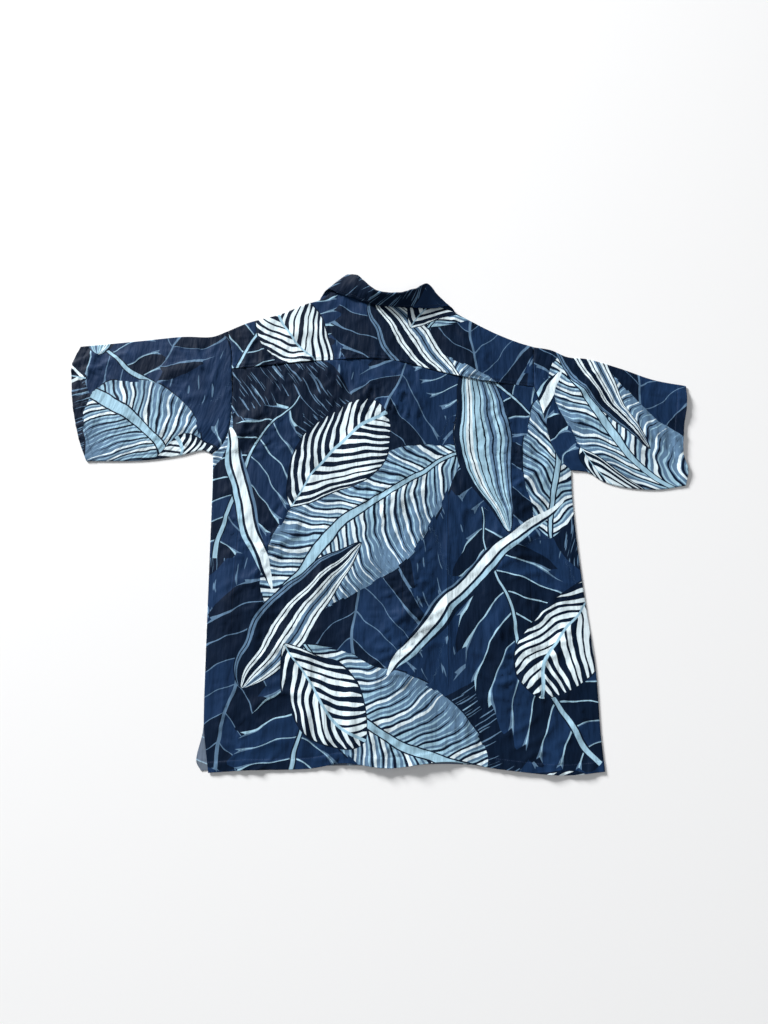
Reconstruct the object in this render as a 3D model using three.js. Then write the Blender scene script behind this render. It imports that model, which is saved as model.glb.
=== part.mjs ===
// A short-sleeved camp shirt laid face down on a flat surface, back panel up, hem towards -Y.
// Millimetres, +Z up. The layers from the surface up are the buttons and the collar's front ends, the two
// fronts, then the back and yoke. Each sleeve is a flattened tube. Neighbouring pieces keep a small seam gap.
import * as THREE from "three";

// Cloth and seams
const WALL = 1.2;
const HEM_DEPTH = 16;
const HEM_EXTRA = 0.6;
const SEAM_GAP = 0.3;
const LAYER_GAP = 0.4;
const FOLD_BULGE = 0.8;

// Placket and buttons
const LAP_HALF = 17;
const BUTTON_RADIUS = 5.75;
const BUTTON_THICK = 2.1;
const BUTTON_COUNT = 6;
const BUTTON_LOWEST = 100;
const BUTTON_PITCH = 108;
const BUTTON_HOLE_RADIUS = 0.9;
const BUTTON_HOLE_OFFSET = 1.7;

// Collar
const COLLAR_WALL = 1.6;
const COLLAR_LIFT = 2.0;
const NECK_CLEARANCE = 1.3;

// Grid of the body panels: cells along the side seam, the back's armhole and the yoke's armhole
const SIDE_ROWS = 16;
const ARMHOLE_ROWS = 6;
const YOKE_ROWS = 5;
const SLEEVE_STEPS = 11;
const COLLAR_STEPS = 46;

// Places are given in a layout frame; CENTRE is the middle of the finished garment in it.
const CENTRE = { x: -10.42, y: 382.95 };

// Outlines of the body, as laid
const HEM = [
  { x: -259.5, y: -36.5 },
  { x: -205, y: -33 },
  { x: -110, y: -30.5 },
  { x: -60, y: -23 },
  { x: 5, y: -30 },
  { x: 95, y: -21 },
  { x: 175, y: -32 },
  { x: 265, y: -40 },
  { x: 326.5, y: -35 },
];
const LEFT_SIDE = [
  { x: -259.5, y: -36.5 },
  { x: -263, y: -5 },
  { x: -270.5, y: 60 },
  { x: -275, y: 150 },
  { x: -279.5, y: 310 },
  { x: -282, y: 410 },
  { x: -285, y: 467 },
];
const RIGHT_SIDE = [
  { x: 326.5, y: -35 },
  { x: 324.5, y: 20 },
  { x: 324.5, y: 115 },
  { x: 317.5, y: 205 },
  { x: 311, y: 305 },
  { x: 308.5, y: 390 },
  { x: 310, y: 438.5 },
];
const LEFT_ARMHOLE = [
  { x: -285, y: 467 },
  { x: -273, y: 480 },
  { x: -262.5, y: 506 },
  { x: -259, y: 560 },
  { x: -262.4, y: 626 },
];
const LEFT_ARMHOLE_TOP = [
  { x: -262.4, y: 626 },
  { x: -266, y: 664 },
  { x: -273.6, y: 698 },
];
const RIGHT_ARMHOLE = [
  { x: 310, y: 438.5 },
  { x: 294, y: 454 },
  { x: 281, y: 484 },
  { x: 269, y: 545 },
  { x: 257, y: 592 },
];
const RIGHT_ARMHOLE_TOP = [
  { x: 257, y: 592 },
  { x: 258.5, y: 630 },
  { x: 261.3, y: 666.5 },
];
const YOKE_SEAM = [
  { x: -262.4, y: 626 },
  { x: -160, y: 635.5 },
  { x: -60, y: 642 },
  { x: -15, y: 643 },
  { x: 35, y: 636 },
  { x: 95, y: 618.5 },
  { x: 160, y: 603.5 },
  { x: 257, y: 592 },
];
const LEFT_SHOULDER = [
  { x: -273.6, y: 698 },
  { x: -240, y: 714 },
  { x: -180, y: 732.5 },
  { x: -140, y: 750 },
  { x: -113, y: 759 },
  { x: -98, y: 770 },
  { x: -88, y: 784 },
];
const BACK_NECK = [
  { x: -72, y: 785 },
  { x: -55, y: 780 },
  { x: -42, y: 766 },
  { x: -22, y: 755 },
  { x: 10, y: 748 },
  { x: 50, y: 744 },
];
const FRONT_NECK = [
  { x: -81, y: 748 },
  { x: -70, y: 716 },
  { x: -46, y: 690 },
  { x: -8, y: 679 },
  { x: 36, y: 684 },
  { x: 78, y: 706 },
];
const RIGHT_SHOULDER = [
  { x: 104, y: 742 },
  { x: 118, y: 737 },
  { x: 140, y: 724 },
  { x: 200, y: 691 },
  { x: 236, y: 675 },
  { x: 261.3, y: 666.5 },
];
const BACK_TOP = [...LEFT_SHOULDER, ...BACK_NECK, ...RIGHT_SHOULDER];
const FRONT_TOP = [...LEFT_SHOULDER, ...FRONT_NECK, ...RIGHT_SHOULDER];
// The left front slips out past the back at the lower left corner.
const FRONT_LEFT_SIDE = [
  { x: -270.5, y: -33.5 },
  { x: -278.5, y: -20 },
  { x: -271.5, y: 24 },
  { x: -273, y: 85 },
  { x: -275.5, y: 150 },
  { x: -279.5, y: 310 },
  { x: -285, y: 467 },
];
const FRONT_HEM = [
  { x: -270.5, y: -33.5 },
  { x: -205, y: -29 },
  { x: -110, y: -27 },
  { x: -60, y: -26 },
  { x: 5, y: -26 },
  { x: 95, y: -24 },
  { x: 175, y: -28 },
  { x: 265, y: -36 },
  { x: 326.5, y: -35 },
];

// Outlines of the sleeves: top fold and underarm seam from armhole to cuff, and the cuff from underarm to top
const LEFT_SLEEVE = {
  top: [
    { x: -273.6, y: 698 },
    { x: -300, y: 687 },
    { x: -350, y: 687 },
    { x: -426, y: 678.5 },
    { x: -528, y: 667.5 },
  ],
  under: [
    { x: -285, y: 467 },
    { x: -302, y: 474 },
    { x: -340, y: 465 },
    { x: -400, y: 456.5 },
    { x: -495, y: 455 },
  ],
  cuff: [
    { x: -495, y: 455 },
    { x: -511, y: 492 },
    { x: -525, y: 540 },
    { x: -534, y: 587 },
    { x: -538, y: 636 },
    { x: -528, y: 667.5 },
  ],
};
const RIGHT_SLEEVE = {
  top: [
    { x: 261.3, y: 666.5 },
    { x: 290, y: 661 },
    { x: 318, y: 647.5 },
    { x: 352, y: 643.5 },
    { x: 410, y: 624.5 },
    { x: 462, y: 604 },
    { x: 517.5, y: 592 },
  ],
  under: [
    { x: 310, y: 438.5 },
    { x: 338, y: 435 },
    { x: 362, y: 419 },
    { x: 395, y: 409 },
    { x: 450, y: 405 },
    { x: 497, y: 412 },
  ],
  cuff: [
    { x: 497, y: 412 },
    { x: 503, y: 437 },
    { x: 498.5, y: 468 },
    { x: 505.5, y: 517 },
    { x: 513, y: 552 },
    { x: 517.5, y: 592 },
  ],
};

// Raised folds of the back and yoke: a ridge from one end to the other
const FOLDS = [
  { x0: 105, y0: 430, x1: 99, y1: 60, height: 2.0, width: 12 },
  { x0: -238, y0: 330, x1: -229, y1: 60, height: 2.4, width: 24 },
  { x0: -108, y0: 450, x1: -99, y1: 190, height: 1.8, width: 20 },
  { x0: -92, y0: 110, x1: -80, y1: -40, height: 2.6, width: 12 },
  { x0: -58, y0: 120, x1: -46, y1: -40, height: 2.2, width: 12 },
  { x0: -120, y0: 80, x1: -124, y1: -40, height: 1.8, width: 12 },
  { x0: 214, y0: 420, x1: 226, y1: 150, height: 2.0, width: 26 },
  { x0: 250, y0: 470, x1: 304, y1: 428, height: 2.2, width: 14 },
  { x0: -190, y0: 560, x1: -262, y1: 486, height: 2.2, width: 18 },
  { x0: -60, y0: 700, x1: -196, y1: 676, height: 2.2, width: 16 },
  { x0: 70, y0: 690, x1: 190, y1: 640, height: 2.2, width: 16 },
];
const SLEEVE_FOLDS = {
  left: [
    { x0: -272, y0: 640, x1: -400, y1: 600, height: 1.9, width: 16 },
    { x0: -270, y0: 520, x1: -390, y1: 520, height: 1.9, width: 18 },
  ],
  right: [
    { x0: 272, y0: 600, x1: 400, y1: 560, height: 1.9, width: 16 },
    { x0: 290, y0: 480, x1: 400, y1: 470, height: 1.9, width: 18 },
  ],
};

const STAND_STEPS = 3;
const ROLL_STEPS = 5;
const FALL_STEPS = 4;

const CLOTH = { navy: 0x1b3460, ink: 0x10182c, slate: 0x5f7fae, ice: 0xb9d3e6, shell: 0x2a3a55 };

const clamp01 = (t) => Math.min(1, Math.max(0, t));
const smooth = (t) => clamp01(t) ** 2 * (3 - 2 * clamp01(t));
const lerp = (a, b, t) => a + (b - a) * t;

// A smooth curve through the rows of a table, evenly paced along its length
function curveOf(rows) {
  const points = rows.map((row) => new THREE.Vector3(row.x, row.y, 0));
  const curve = new THREE.CatmullRomCurve3(points, false, "centripetal");
  return (t) => curve.getPointAt(clamp01(t));
}

// Halvings that find a place on a curve by one of its coordinates
const HALVINGS = 40;

// A smooth curve through the rows of a table, paced by its x, so that a column keeps its place across the body
function curveByX(rows) {
  const points = rows.map((row) => new THREE.Vector3(row.x, row.y, 0));
  const curve = new THREE.CatmullRomCurve3(points, false, "centripetal");
  const first = rows[0].x;
  const last = rows[rows.length - 1].x;
  return (u) => {
    const wanted = lerp(first, last, u);
    let low = 0;
    let high = 1;
    for (let i = 0; i < HALVINGS; i += 1) {
      const middle = (low + high) / 2;
      if (curve.getPoint(middle).x < wanted) low = middle;
      else high = middle;
    }
    return curve.getPoint((low + high) / 2);
  };
}

// A patch between four edges: bottom and top run with u, left and right run with v
function patchBetween(bottom, top, left, right) {
  return (u, v) => {
    const corners = bottom(0)
      .multiplyScalar((1 - u) * (1 - v))
      .addScaledVector(bottom(1), u * (1 - v))
      .addScaledVector(top(0), (1 - u) * v)
      .addScaledVector(top(1), u * v);
    return bottom(u)
      .multiplyScalar(1 - v)
      .addScaledVector(top(u), v)
      .addScaledVector(left(v), 1 - u)
      .addScaledVector(right(v), u)
      .sub(corners);
  };
}

// How far a place lies off a fold's line, faded out over the fold's ends
function foldHeight(x, y, folds) {
  let height = 0;
  for (const fold of folds) {
    const dx = fold.x1 - fold.x0;
    const dy = fold.y1 - fold.y0;
    const length = Math.hypot(dx, dy);
    const along = ((x - fold.x0) * dx + (y - fold.y0) * dy) / (length * length);
    const off = ((x - fold.x0) * dy - (y - fold.y0) * dx) / length;
    const fade = smooth(along * 3) * smooth((1 - along) * 3);
    height += fold.height * fade * Math.exp(-((off / fold.width) ** 2));
  }
  return height;
}

// Closes two facing grids of points into one solid wall
function closedSheet(lower, upper) {
  const rows = lower.length;
  const columns = lower[0].length;
  const positions = [];
  for (const grid of [lower, upper]) {
    for (const row of grid) {
      for (const p of row) positions.push(p.x, p.y, p.z);
    }
  }
  const low = (i, j) => i * columns + j;
  const up = (i, j) => rows * columns + low(i, j);
  const faces = [];
  const quad = (a, b, c, d) => faces.push(a, b, c, a, c, d);
  for (let i = 0; i + 1 < rows; i += 1) {
    for (let j = 0; j + 1 < columns; j += 1) {
      quad(up(i, j), up(i, j + 1), up(i + 1, j + 1), up(i + 1, j));
      quad(low(i, j), low(i + 1, j), low(i + 1, j + 1), low(i, j + 1));
    }
    quad(low(i, 0), up(i, 0), up(i + 1, 0), low(i + 1, 0));
    quad(low(i, columns - 1), low(i + 1, columns - 1), up(i + 1, columns - 1), up(i, columns - 1));
  }
  for (let j = 0; j + 1 < columns; j += 1) {
    quad(low(0, j), low(0, j + 1), up(0, j + 1), up(0, j));
    quad(low(rows - 1, j), up(rows - 1, j), up(rows - 1, j + 1), low(rows - 1, j + 1));
  }
  return geometryOf(positions, faces);
}

function geometryOf(positions, faces) {
  const geometry = new THREE.BufferGeometry();
  geometry.setAttribute("position", new THREE.Float32BufferAttribute(positions, 3));
  geometry.setIndex(faces);
  const shown = geometry.toNonIndexed();
  shown.computeVertexNormals();
  return shown;
}

const shirt = new THREE.Group();

const CLOTH_ROUGHNESS = 0.85;
const BUTTON_ROUGHNESS = 0.35;

function addPiece(name, geometry, colour, roughness = CLOTH_ROUGHNESS) {
  const material = new THREE.MeshStandardMaterial({ color: colour, roughness, metalness: 0 });
  const mesh = new THREE.Mesh(geometry, material);
  mesh.name = name;
  shirt.add(mesh);
}

// Distance of a column from the centre front, and back to a column
const BODY_WIDTH = 590;
const fromCentre = (u) => (u - 0.5) * BODY_WIDTH;
const columnAt = (distance) => 0.5 + distance / BODY_WIDTH;

// Heights of the underside of each layer above the surface. The left front climbs over the buttons, the
// right front over the left, and the back over both. At the neck all climb over the collar's front ends.
const RAMP_START = 22;
const FRONT_RAMP = 44;
const BACK_RAMP = 74;
const LAP_LIFT = BUTTON_THICK + LAYER_GAP;
const OUTER_LAP_LIFT = LAP_LIFT + WALL + LAYER_GAP;
const NECK_RAMP = { from: 560, to: 622, halfWidth: 132, fade: 62 };

function neckLift(x, y) {
  const along = smooth((y - NECK_RAMP.from) / (NECK_RAMP.to - NECK_RAMP.from));
  const across = 1 - smooth((Math.abs(x) - NECK_RAMP.halfWidth) / NECK_RAMP.fade);
  return along * across;
}

function leftFrontBase(u, x, y) {
  const lap = LAP_LIFT * smooth((fromCentre(u) + RAMP_START + FRONT_RAMP) / FRONT_RAMP);
  return Math.max(lap, COLLAR_LIFT * neckLift(x, y));
}

function rightFrontBase(u, x, y) {
  const lap = OUTER_LAP_LIFT * smooth((RAMP_START + FRONT_RAMP - fromCentre(u)) / FRONT_RAMP);
  return Math.max(lap, COLLAR_LIFT * neckLift(x, y));
}

function backBase(u, x, y) {
  const distance = Math.abs(fromCentre(u));
  const lap = OUTER_LAP_LIFT * smooth((RAMP_START + BACK_RAMP - distance) / BACK_RAMP);
  return WALL + LAYER_GAP + Math.max(lap, (COLLAR_LIFT + NECK_CLEARANCE) * neckLift(x, y));
}

// Air trapped under the back. It rises from the sides and ends at these rates, with some left at hem and yoke.
const PUFF = { height: 1.6, sideRise: 5, endRise: 8, atHem: 0.2, atYoke: 0.4 };
function puffAt(u, v) {
  const sides = smooth(u * PUFF.sideRise) * smooth((1 - u) * PUFF.sideRise);
  const ends = smooth(v * PUFF.endRise + PUFF.atHem) * smooth((1 - v) * PUFF.endRise + PUFF.atYoke);
  return PUFF.height * sides * ends;
}

// Lines of the body's grid, as distances from the centre front, with closer ones at the neck's two corners
const NECK_LEFT = -90.3;
const NECK_RIGHT = 121.5;
const NECK_COLUMNS = [0, 4, 8, 14, 20, 32].flatMap((inset) => [NECK_LEFT + inset, NECK_RIGHT - inset]);
const byValue = (a, b) => a - b;
const SHOULDER_COLUMNS = [-117, -101, 136];
const BACK_NECK_COLUMNS = [NECK_LEFT, -72, -54, -41, -28, -14, 0, 22, 44, 64, 88, 98, 108, NECK_RIGHT];
const BACK_STOPS = [...SHOULDER_COLUMNS, ...BACK_NECK_COLUMNS].sort(byValue);
const LAP_COLUMNS = [-44, -22, -LAP_HALF, 0, LAP_HALF, 22, 44, 66];
const FRONT_STOPS = [...SHOULDER_COLUMNS, ...NECK_COLUMNS, ...LAP_COLUMNS].sort(byValue);
function columnsBetween(start, end, stops, step) {
  const inside = stops.filter((d) => d > start + 1 && d < end - 1);
  const knots = [start, ...inside, end];
  const columns = [];
  for (let k = 0; k + 1 < knots.length; k += 1) {
    const count = Math.max(1, Math.round((knots[k + 1] - knots[k]) / step));
    for (let i = 0; i < count; i += 1) columns.push(lerp(knots[k], knots[k + 1], i / count));
  }
  columns.push(end);
  return columns.map(columnAt);
}

const evenly = (count) => Array.from({ length: count + 1 }, (_, i) => i / count);

const HALF_BODY = BODY_WIDTH / 2;
const COLUMN_STEP_BACK = 19;
const COLUMN_STEP_FRONT = 36;
const BACK_COLUMNS = columnsBetween(-HALF_BODY, HALF_BODY, BACK_STOPS, COLUMN_STEP_BACK);

const leftSide = curveOf(LEFT_SIDE);
const rightSide = curveOf(RIGHT_SIDE);
const leftArmhole = curveOf(LEFT_ARMHOLE);
const rightArmhole = curveOf(RIGHT_ARMHOLE);
const leftArmholeTop = curveOf(LEFT_ARMHOLE_TOP);
const rightArmholeTop = curveOf(RIGHT_ARMHOLE_TOP);
const yokeSeam = curveByX(YOKE_SEAM);

// A side of the lower body: side seam up to ARMPIT of v, then the armhole up to the yoke
const ARMPIT = SIDE_ROWS / (SIDE_ROWS + ARMHOLE_ROWS);
const sideWithArmhole = (side, armhole) => (v) =>
  v <= ARMPIT ? side(v / ARMPIT) : armhole((v - ARMPIT) / (1 - ARMPIT));

const backPlan = patchBetween(
  curveByX(HEM),
  yokeSeam,
  sideWithArmhole(leftSide, leftArmhole),
  sideWithArmhole(rightSide, rightArmhole),
);
const yokePlan = patchBetween(yokeSeam, curveByX(BACK_TOP), leftArmholeTop, rightArmholeTop);
const frontPlan = patchBetween(
  curveByX(FRONT_HEM),
  yokeSeam,
  sideWithArmhole(curveOf(FRONT_LEFT_SIDE), leftArmhole),
  sideWithArmhole(rightSide, rightArmhole),
);
const frontTopPlan = patchBetween(yokeSeam, curveByX(FRONT_TOP), leftArmholeTop, rightArmholeTop);

// The hem's fold line is a row of its own, and only the rows up to it are doubled.
const LOWER_LENGTH = 660;
const HEM_ROW = HEM_DEPTH / LOWER_LENGTH;
const hemShare = (v) => (v <= HEM_ROW ? 1 : 0);

// The rows of v below the yoke, with the hem's fold line and the armpit on rows of their own
function lowerRows(sideCount, armholeCount) {
  const side = evenly(sideCount).map((t) => lerp(HEM_ROW, ARMPIT, t));
  const armhole = evenly(armholeCount).map((t) => lerp(ARMPIT, 1, t));
  return [0, ...side, ...armhole.slice(1)];
}

// A panel between two heights over its plan
function panel(stations, height, thickness) {
  const lower = stations.map((row) => row.map((s) => new THREE.Vector3(s.x, s.y, height(s))));
  const upper = stations.map((row) => row.map((s) => new THREE.Vector3(s.x, s.y, height(s) + thickness(s))));
  return closedSheet(lower, upper);
}

function station(plan, u, v, layerShare, shiftY = 0) {
  const p = plan(u, v);
  return { u, v, x: p.x, y: p.y + shiftY, hem: layerShare };
}

// Back
const HALF_GAP = SEAM_GAP / 2;
const backStations = lowerRows(SIDE_ROWS, ARMHOLE_ROWS).map((v) =>
  BACK_COLUMNS.map((u) => station(backPlan, u, v, hemShare(v), v === 1 ? -HALF_GAP : 0)),
);
const backHeight = (s) =>
  backBase(s.u, s.x, s.y) + HEM_EXTRA * s.hem + puffAt(s.u, s.v) + foldHeight(s.x, s.y, FOLDS);
const hemmedWall = (s) => WALL + HEM_EXTRA * s.hem;
addPiece("back", panel(backStations, backHeight, hemmedWall), CLOTH.navy);

// Yoke
const yokeStations = evenly(YOKE_ROWS).map((v) =>
  BACK_COLUMNS.map((u) => station(yokePlan, u, v, 0, v === 0 ? HALF_GAP : 0)),
);
const FOLDS_FADE_TO_NECK = 2.5;
function yokeHeight(s) {
  const folds = foldHeight(s.x, s.y, FOLDS) * smooth((1 - s.v) * FOLDS_FADE_TO_NECK);
  return backBase(s.u, s.x, s.y) + puffAt(s.u, 1) + folds;
}
addPiece("yoke", panel(yokeStations, yokeHeight, () => WALL), CLOTH.ink);

// Fronts, each one panel from hem to shoulder
function frontStations(columns) {
  const lower = lowerRows(SIDE_ROWS / 2, ARMHOLE_ROWS).map((v) =>
    columns.map((u) => station(frontPlan, u, v, hemShare(v))),
  );
  const upper = evenly(YOKE_ROWS)
    .slice(1)
    .map((v) => columns.map((u) => station(frontTopPlan, u, v, 0)));
  return [...lower, ...upper];
}
const leftColumns = columnsBetween(-HALF_BODY, LAP_HALF, FRONT_STOPS, COLUMN_STEP_FRONT);
const rightColumns = columnsBetween(-LAP_HALF, HALF_BODY, FRONT_STOPS, COLUMN_STEP_FRONT);
// The hem's extra thickness fades out over this distance on each side of the button lap
const LAP_CLEAR = 60;
const frontWall = (s) => WALL + HEM_EXTRA * s.hem * smooth((Math.abs(fromCentre(s.u)) - LAP_CLEAR) / LAP_CLEAR);
addPiece(
  "front_left",
  panel(frontStations(leftColumns), (s) => leftFrontBase(s.u, s.x, s.y), frontWall),
  CLOTH.navy,
);
addPiece(
  "front_right",
  panel(frontStations(rightColumns), (s) => rightFrontBase(s.u, s.x, s.y), frontWall),
  CLOTH.navy,
);

// Sleeves: a flattened tube from armhole to cuff, one ring of points for each step along it
const CAVITY = 0.5;
const ARMHOLE_GAP = SEAM_GAP + 0.05;
const SLEEVE_PUFF = { height: 1.0, rise: 4, foldRise: 5, sideRise: 6 };
function sleeve(name, table, armholePoints, outward, folds) {
  const armhole = armholePoints.map((p, i) => {
    const before = armholePoints[Math.max(0, i - 1)];
    const after = armholePoints[Math.min(armholePoints.length - 1, i + 1)];
    const across = new THREE.Vector3(-(after.y - before.y), after.x - before.x, 0).normalize();
    return p.clone().addScaledVector(across, -outward * ARMHOLE_GAP);
  });
  const last = armhole.length - 1;
  const armholeAt = (t) => armhole[Math.round(t * last)].clone();
  const plan = patchBetween(curveOf(table.under), curveOf(table.top), armholeAt, curveOf(table.cuff));
  const fixedUnder = armhole[0].clone().sub(curveOf(table.under)(0));
  const fixedTop = armhole[last].clone().sub(curveOf(table.top)(0));
  const positions = [];
  const outer = [];
  const inner = [];
  const addPoint = (x, y, z) => {
    positions.push(x, y, z);
    return positions.length / 3 - 1;
  };
  for (let i = 0; i <= SLEEVE_STEPS; i += 1) {
    const s = i / SLEEVE_STEPS;
    const across = armhole.map((_, k) => {
      const t = k / last;
      const shift = fixedUnder.clone().lerp(fixedTop, t);
      return s === 0 ? armhole[k].clone() : plan(s, t).addScaledVector(shift, (1 - s) * (1 - s));
    });
    const top = across.map((p, k) => {
      const t = k / last;
      const puff = SLEEVE_PUFF.height * Math.sin(Math.PI * t) * smooth(s * SLEEVE_PUFF.rise);
      const fold = foldHeight(p.x, p.y, folds) * smooth(s * SLEEVE_PUFF.foldRise);
      const sides = smooth(t * SLEEVE_PUFF.sideRise) * smooth((1 - t) * SLEEVE_PUFF.sideRise);
      return 2 * WALL + CAVITY + (puff + fold) * sides;
    });
    const stepIn = (k, inward, step) =>
      across[k].clone().lerp(across[inward], step / across[k].distanceTo(across[inward]));
    const edge = (k, inward) => stepIn(k, inward, WALL);
    const bulge = (k, inward) => stepIn(k, inward, -FOLD_BULGE);
    const middle = WALL + CAVITY / 2;
    const outerRing = [];
    const innerRing = [];
    for (let k = 0; k <= last; k += 1) {
      const p = across[k];
      const q = k === 0 ? edge(0, 1) : k === last ? edge(last, last - 1) : p;
      outerRing.push(addPoint(p.x, p.y, 0));
      innerRing.push(addPoint(q.x, q.y, WALL));
    }
    const farOut = bulge(last, last - 1);
    const farIn = edge(last, last - 1).lerp(across[last], 0.5);
    outerRing.push(addPoint(farOut.x, farOut.y, middle));
    innerRing.push(addPoint(farIn.x, farIn.y, middle));
    for (let k = last; k >= 0; k -= 1) {
      const p = across[k];
      const q = k === 0 ? edge(0, 1) : k === last ? edge(last, last - 1) : p;
      outerRing.push(addPoint(p.x, p.y, top[k]));
      innerRing.push(addPoint(q.x, q.y, top[k] - WALL));
    }
    const nearOut = bulge(0, 1);
    const nearIn = edge(0, 1).lerp(across[0], 0.5);
    outerRing.push(addPoint(nearOut.x, nearOut.y, middle));
    innerRing.push(addPoint(nearIn.x, nearIn.y, middle));
    outer.push(outerRing);
    inner.push(innerRing);
  }
  const faces = [];
  const quad = (a, b, c, d) => (outward > 0 ? faces.push(a, b, c, a, c, d) : faces.push(a, c, b, a, d, c));
  const around = outer[0].length;
  for (let k = 0; k < around; k += 1) {
    const next = (k + 1) % around;
    for (let i = 0; i < SLEEVE_STEPS; i += 1) {
      quad(outer[i][k], outer[i][next], outer[i + 1][next], outer[i + 1][k]);
      quad(inner[i][k], inner[i + 1][k], inner[i + 1][next], inner[i][next]);
    }
    const end = SLEEVE_STEPS;
    quad(outer[0][k], inner[0][k], inner[0][next], outer[0][next]);
    quad(outer[end][k], outer[end][next], inner[end][next], inner[end][k]);
  }
  addPiece(name, geometryOf(positions, faces), CLOTH.slate);
}

const edgeOfBack = (j) => backStations.slice(1 + SIDE_ROWS).map((row) => row[j]);
const edgeOfYoke = (j) => yokeStations.slice(1).map((row) => row[j]);
function armholeOf(j) {
  return [...edgeOfBack(j), ...edgeOfYoke(j)].map((s) => new THREE.Vector3(s.x, s.y, 0));
}
sleeve("sleeve_left", LEFT_SLEEVE, armholeOf(0), -1, SLEEVE_FOLDS.left);
sleeve("sleeve_right", RIGHT_SLEEVE, armholeOf(BACK_COLUMNS.length - 1), 1, SLEEVE_FOLDS.right);

// Places on the collar's seam, just inside the neck's edge at x
const NECK_GAP = 0.6;
const NECK_OFFSET = COLLAR_WALL / 2 + NECK_GAP;
function besideNeck(rows, x, z) {
  const curve = curveByX(rows);
  const place = (at) => curve((at - rows[0].x) / (rows[rows.length - 1].x - rows[0].x));
  const point = place(x);
  const ahead = place(x + 1).sub(place(x - 1)).normalize();
  return [point.x - ahead.y * NECK_OFFSET, point.y + ahead.x * NECK_OFFSET, z];
}
function atFront(x, z) {
  return besideNeck(FRONT_TOP, x, z);
}
function atBack(x, z) {
  return besideNeck(BACK_TOP, x, z);
}

// The collar from its left front end round the back of the neck to its right front end. At each section it
// leaves the neck seam, turns over at the roll and falls to its edge; side points from the fall to the stand.
// The fall runs under the front, comes out past the shoulder fold and comes back over the yoke.
const COLLAR = [
  { seam: atFront(-27, 3.3), roll: [-22, 689, 1.95], edge: [-66, 642, 0.85], side: [0, 0, 1], radius: 1.15 },
  { seam: atFront(-50, 3.3), roll: [-43, 700, 1.95], edge: [-88, 668, 0.85], side: [0, 0, 1], radius: 1.15 },
  { seam: atFront(-70, 3.4), roll: [-61, 723, 1.95], edge: [-108, 700, 0.85], side: [0, 0, 1], radius: 1.15 },
  { seam: atFront(-80, 3.5), roll: [-70, 754, 2.1], edge: [-119, 734, 0.85], side: [0, -0.2, 1], radius: 1.25 },
  { seam: atFront(-85, 3.6), roll: [-73, 777, 2.3], edge: [-116, 754, 0.85], side: [0, -0.3, 1], radius: 1.25 },
  { seam: [-87, 787, 4.2], roll: [-71, 798.5, 2.8], edge: [-110, 770, 1.0], side: [0, -0.4, 1], radius: 1.3 },
  { seam: [-85, 787, 5.4], roll: [-66, 805, 12], edge: [-99, 778, 9], side: [0, -0.5, -1], radius: 2 },
  { seam: atBack(-70, 5.6), roll: [-56, 802, 19], edge: [-80, 769, 9.5], side: [0.5, -0.5, -1], radius: 2.4 },
  { seam: atBack(-57, 5.6), roll: [-46, 796, 23], edge: [-66, 764, 10], side: [0.4, 0.6, -0.8], radius: 2.7 },
  { seam: atBack(-42, 5.6), roll: [-35, 784, 26], edge: [-52, 759, 10.5], side: [0.2, 1, -0.6], radius: 3 },
  { seam: atBack(-20, 6.0), roll: [-13, 763, 29], edge: [-22, 747, 10.5], side: [0, 1, -0.3], radius: 3 },
  { seam: atBack(20, 6.0), roll: [22, 757, 30], edge: [20, 742, 10.5], side: [0, 1, -0.3], radius: 3 },
  { seam: atBack(52, 5.8), roll: [52, 765, 30], edge: [54, 740, 10.5], side: [0, 1, -0.3], radius: 3 },
  { seam: atBack(82, 5.6), roll: [76, 779, 24], edge: [90, 739, 10], side: [-0.2, 1, -0.6], radius: 2.4 },
  { seam: [101, 744.5, 5.4], roll: [89, 768, 13], edge: [114, 744, 9], side: [0, -0.5, -1], radius: 2 },
  { seam: [105, 744, 4.2], roll: [93, 757, 2.9], edge: [125, 738, 1.0], side: [0, -0.4, 1], radius: 1.3 },
  { seam: atFront(98.5, 3.5), roll: [90, 741, 2.1], edge: [129, 718, 0.85], side: [0, -0.2, 1], radius: 1.25 },
  { seam: atFront(78, 3.4), roll: [70, 714, 1.95], edge: [112, 686, 0.85], side: [0, 0, 1], radius: 1.15 },
  { seam: atFront(48, 3.3), roll: [42, 697, 1.95], edge: [86, 658, 0.85], side: [0, 0, 1], radius: 1.15 },
  { seam: atFront(20, 3.3), roll: [15, 688, 1.95], edge: [62, 634, 0.85], side: [0, 0, 1], radius: 1.15 },
];

// Collar: sections through stand, roll and fall, joined by smooth lines and given its thickness
function collarSection(row) {
  const seam = new THREE.Vector3(...row.seam);
  const roll = new THREE.Vector3(...row.roll);
  const edge = new THREE.Vector3(...row.edge);
  const fold = roll.clone().sub(seam.clone().lerp(edge, 0.5)).normalize();
  const side = new THREE.Vector3(...row.side);
  side.addScaledVector(fold, -side.dot(fold)).normalize();
  const centre = roll.clone().addScaledVector(fold, -row.radius);
  const around = (angle) =>
    centre
      .clone()
      .addScaledVector(side, row.radius * Math.cos(angle))
      .addScaledVector(fold, row.radius * Math.sin(angle));
  const stand = evenly(STAND_STEPS).map((t) => seam.clone().lerp(around(0), t));
  const turn = evenly(ROLL_STEPS).map((t) => around(Math.PI * t));
  const fall = evenly(FALL_STEPS).map((t) => around(Math.PI).lerp(edge, t));
  return [...stand.slice(0, -1), ...turn, ...fall.slice(1)];
}

const aboveSurface = (p) => p.setZ(Math.max(0, p.z));

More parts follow.
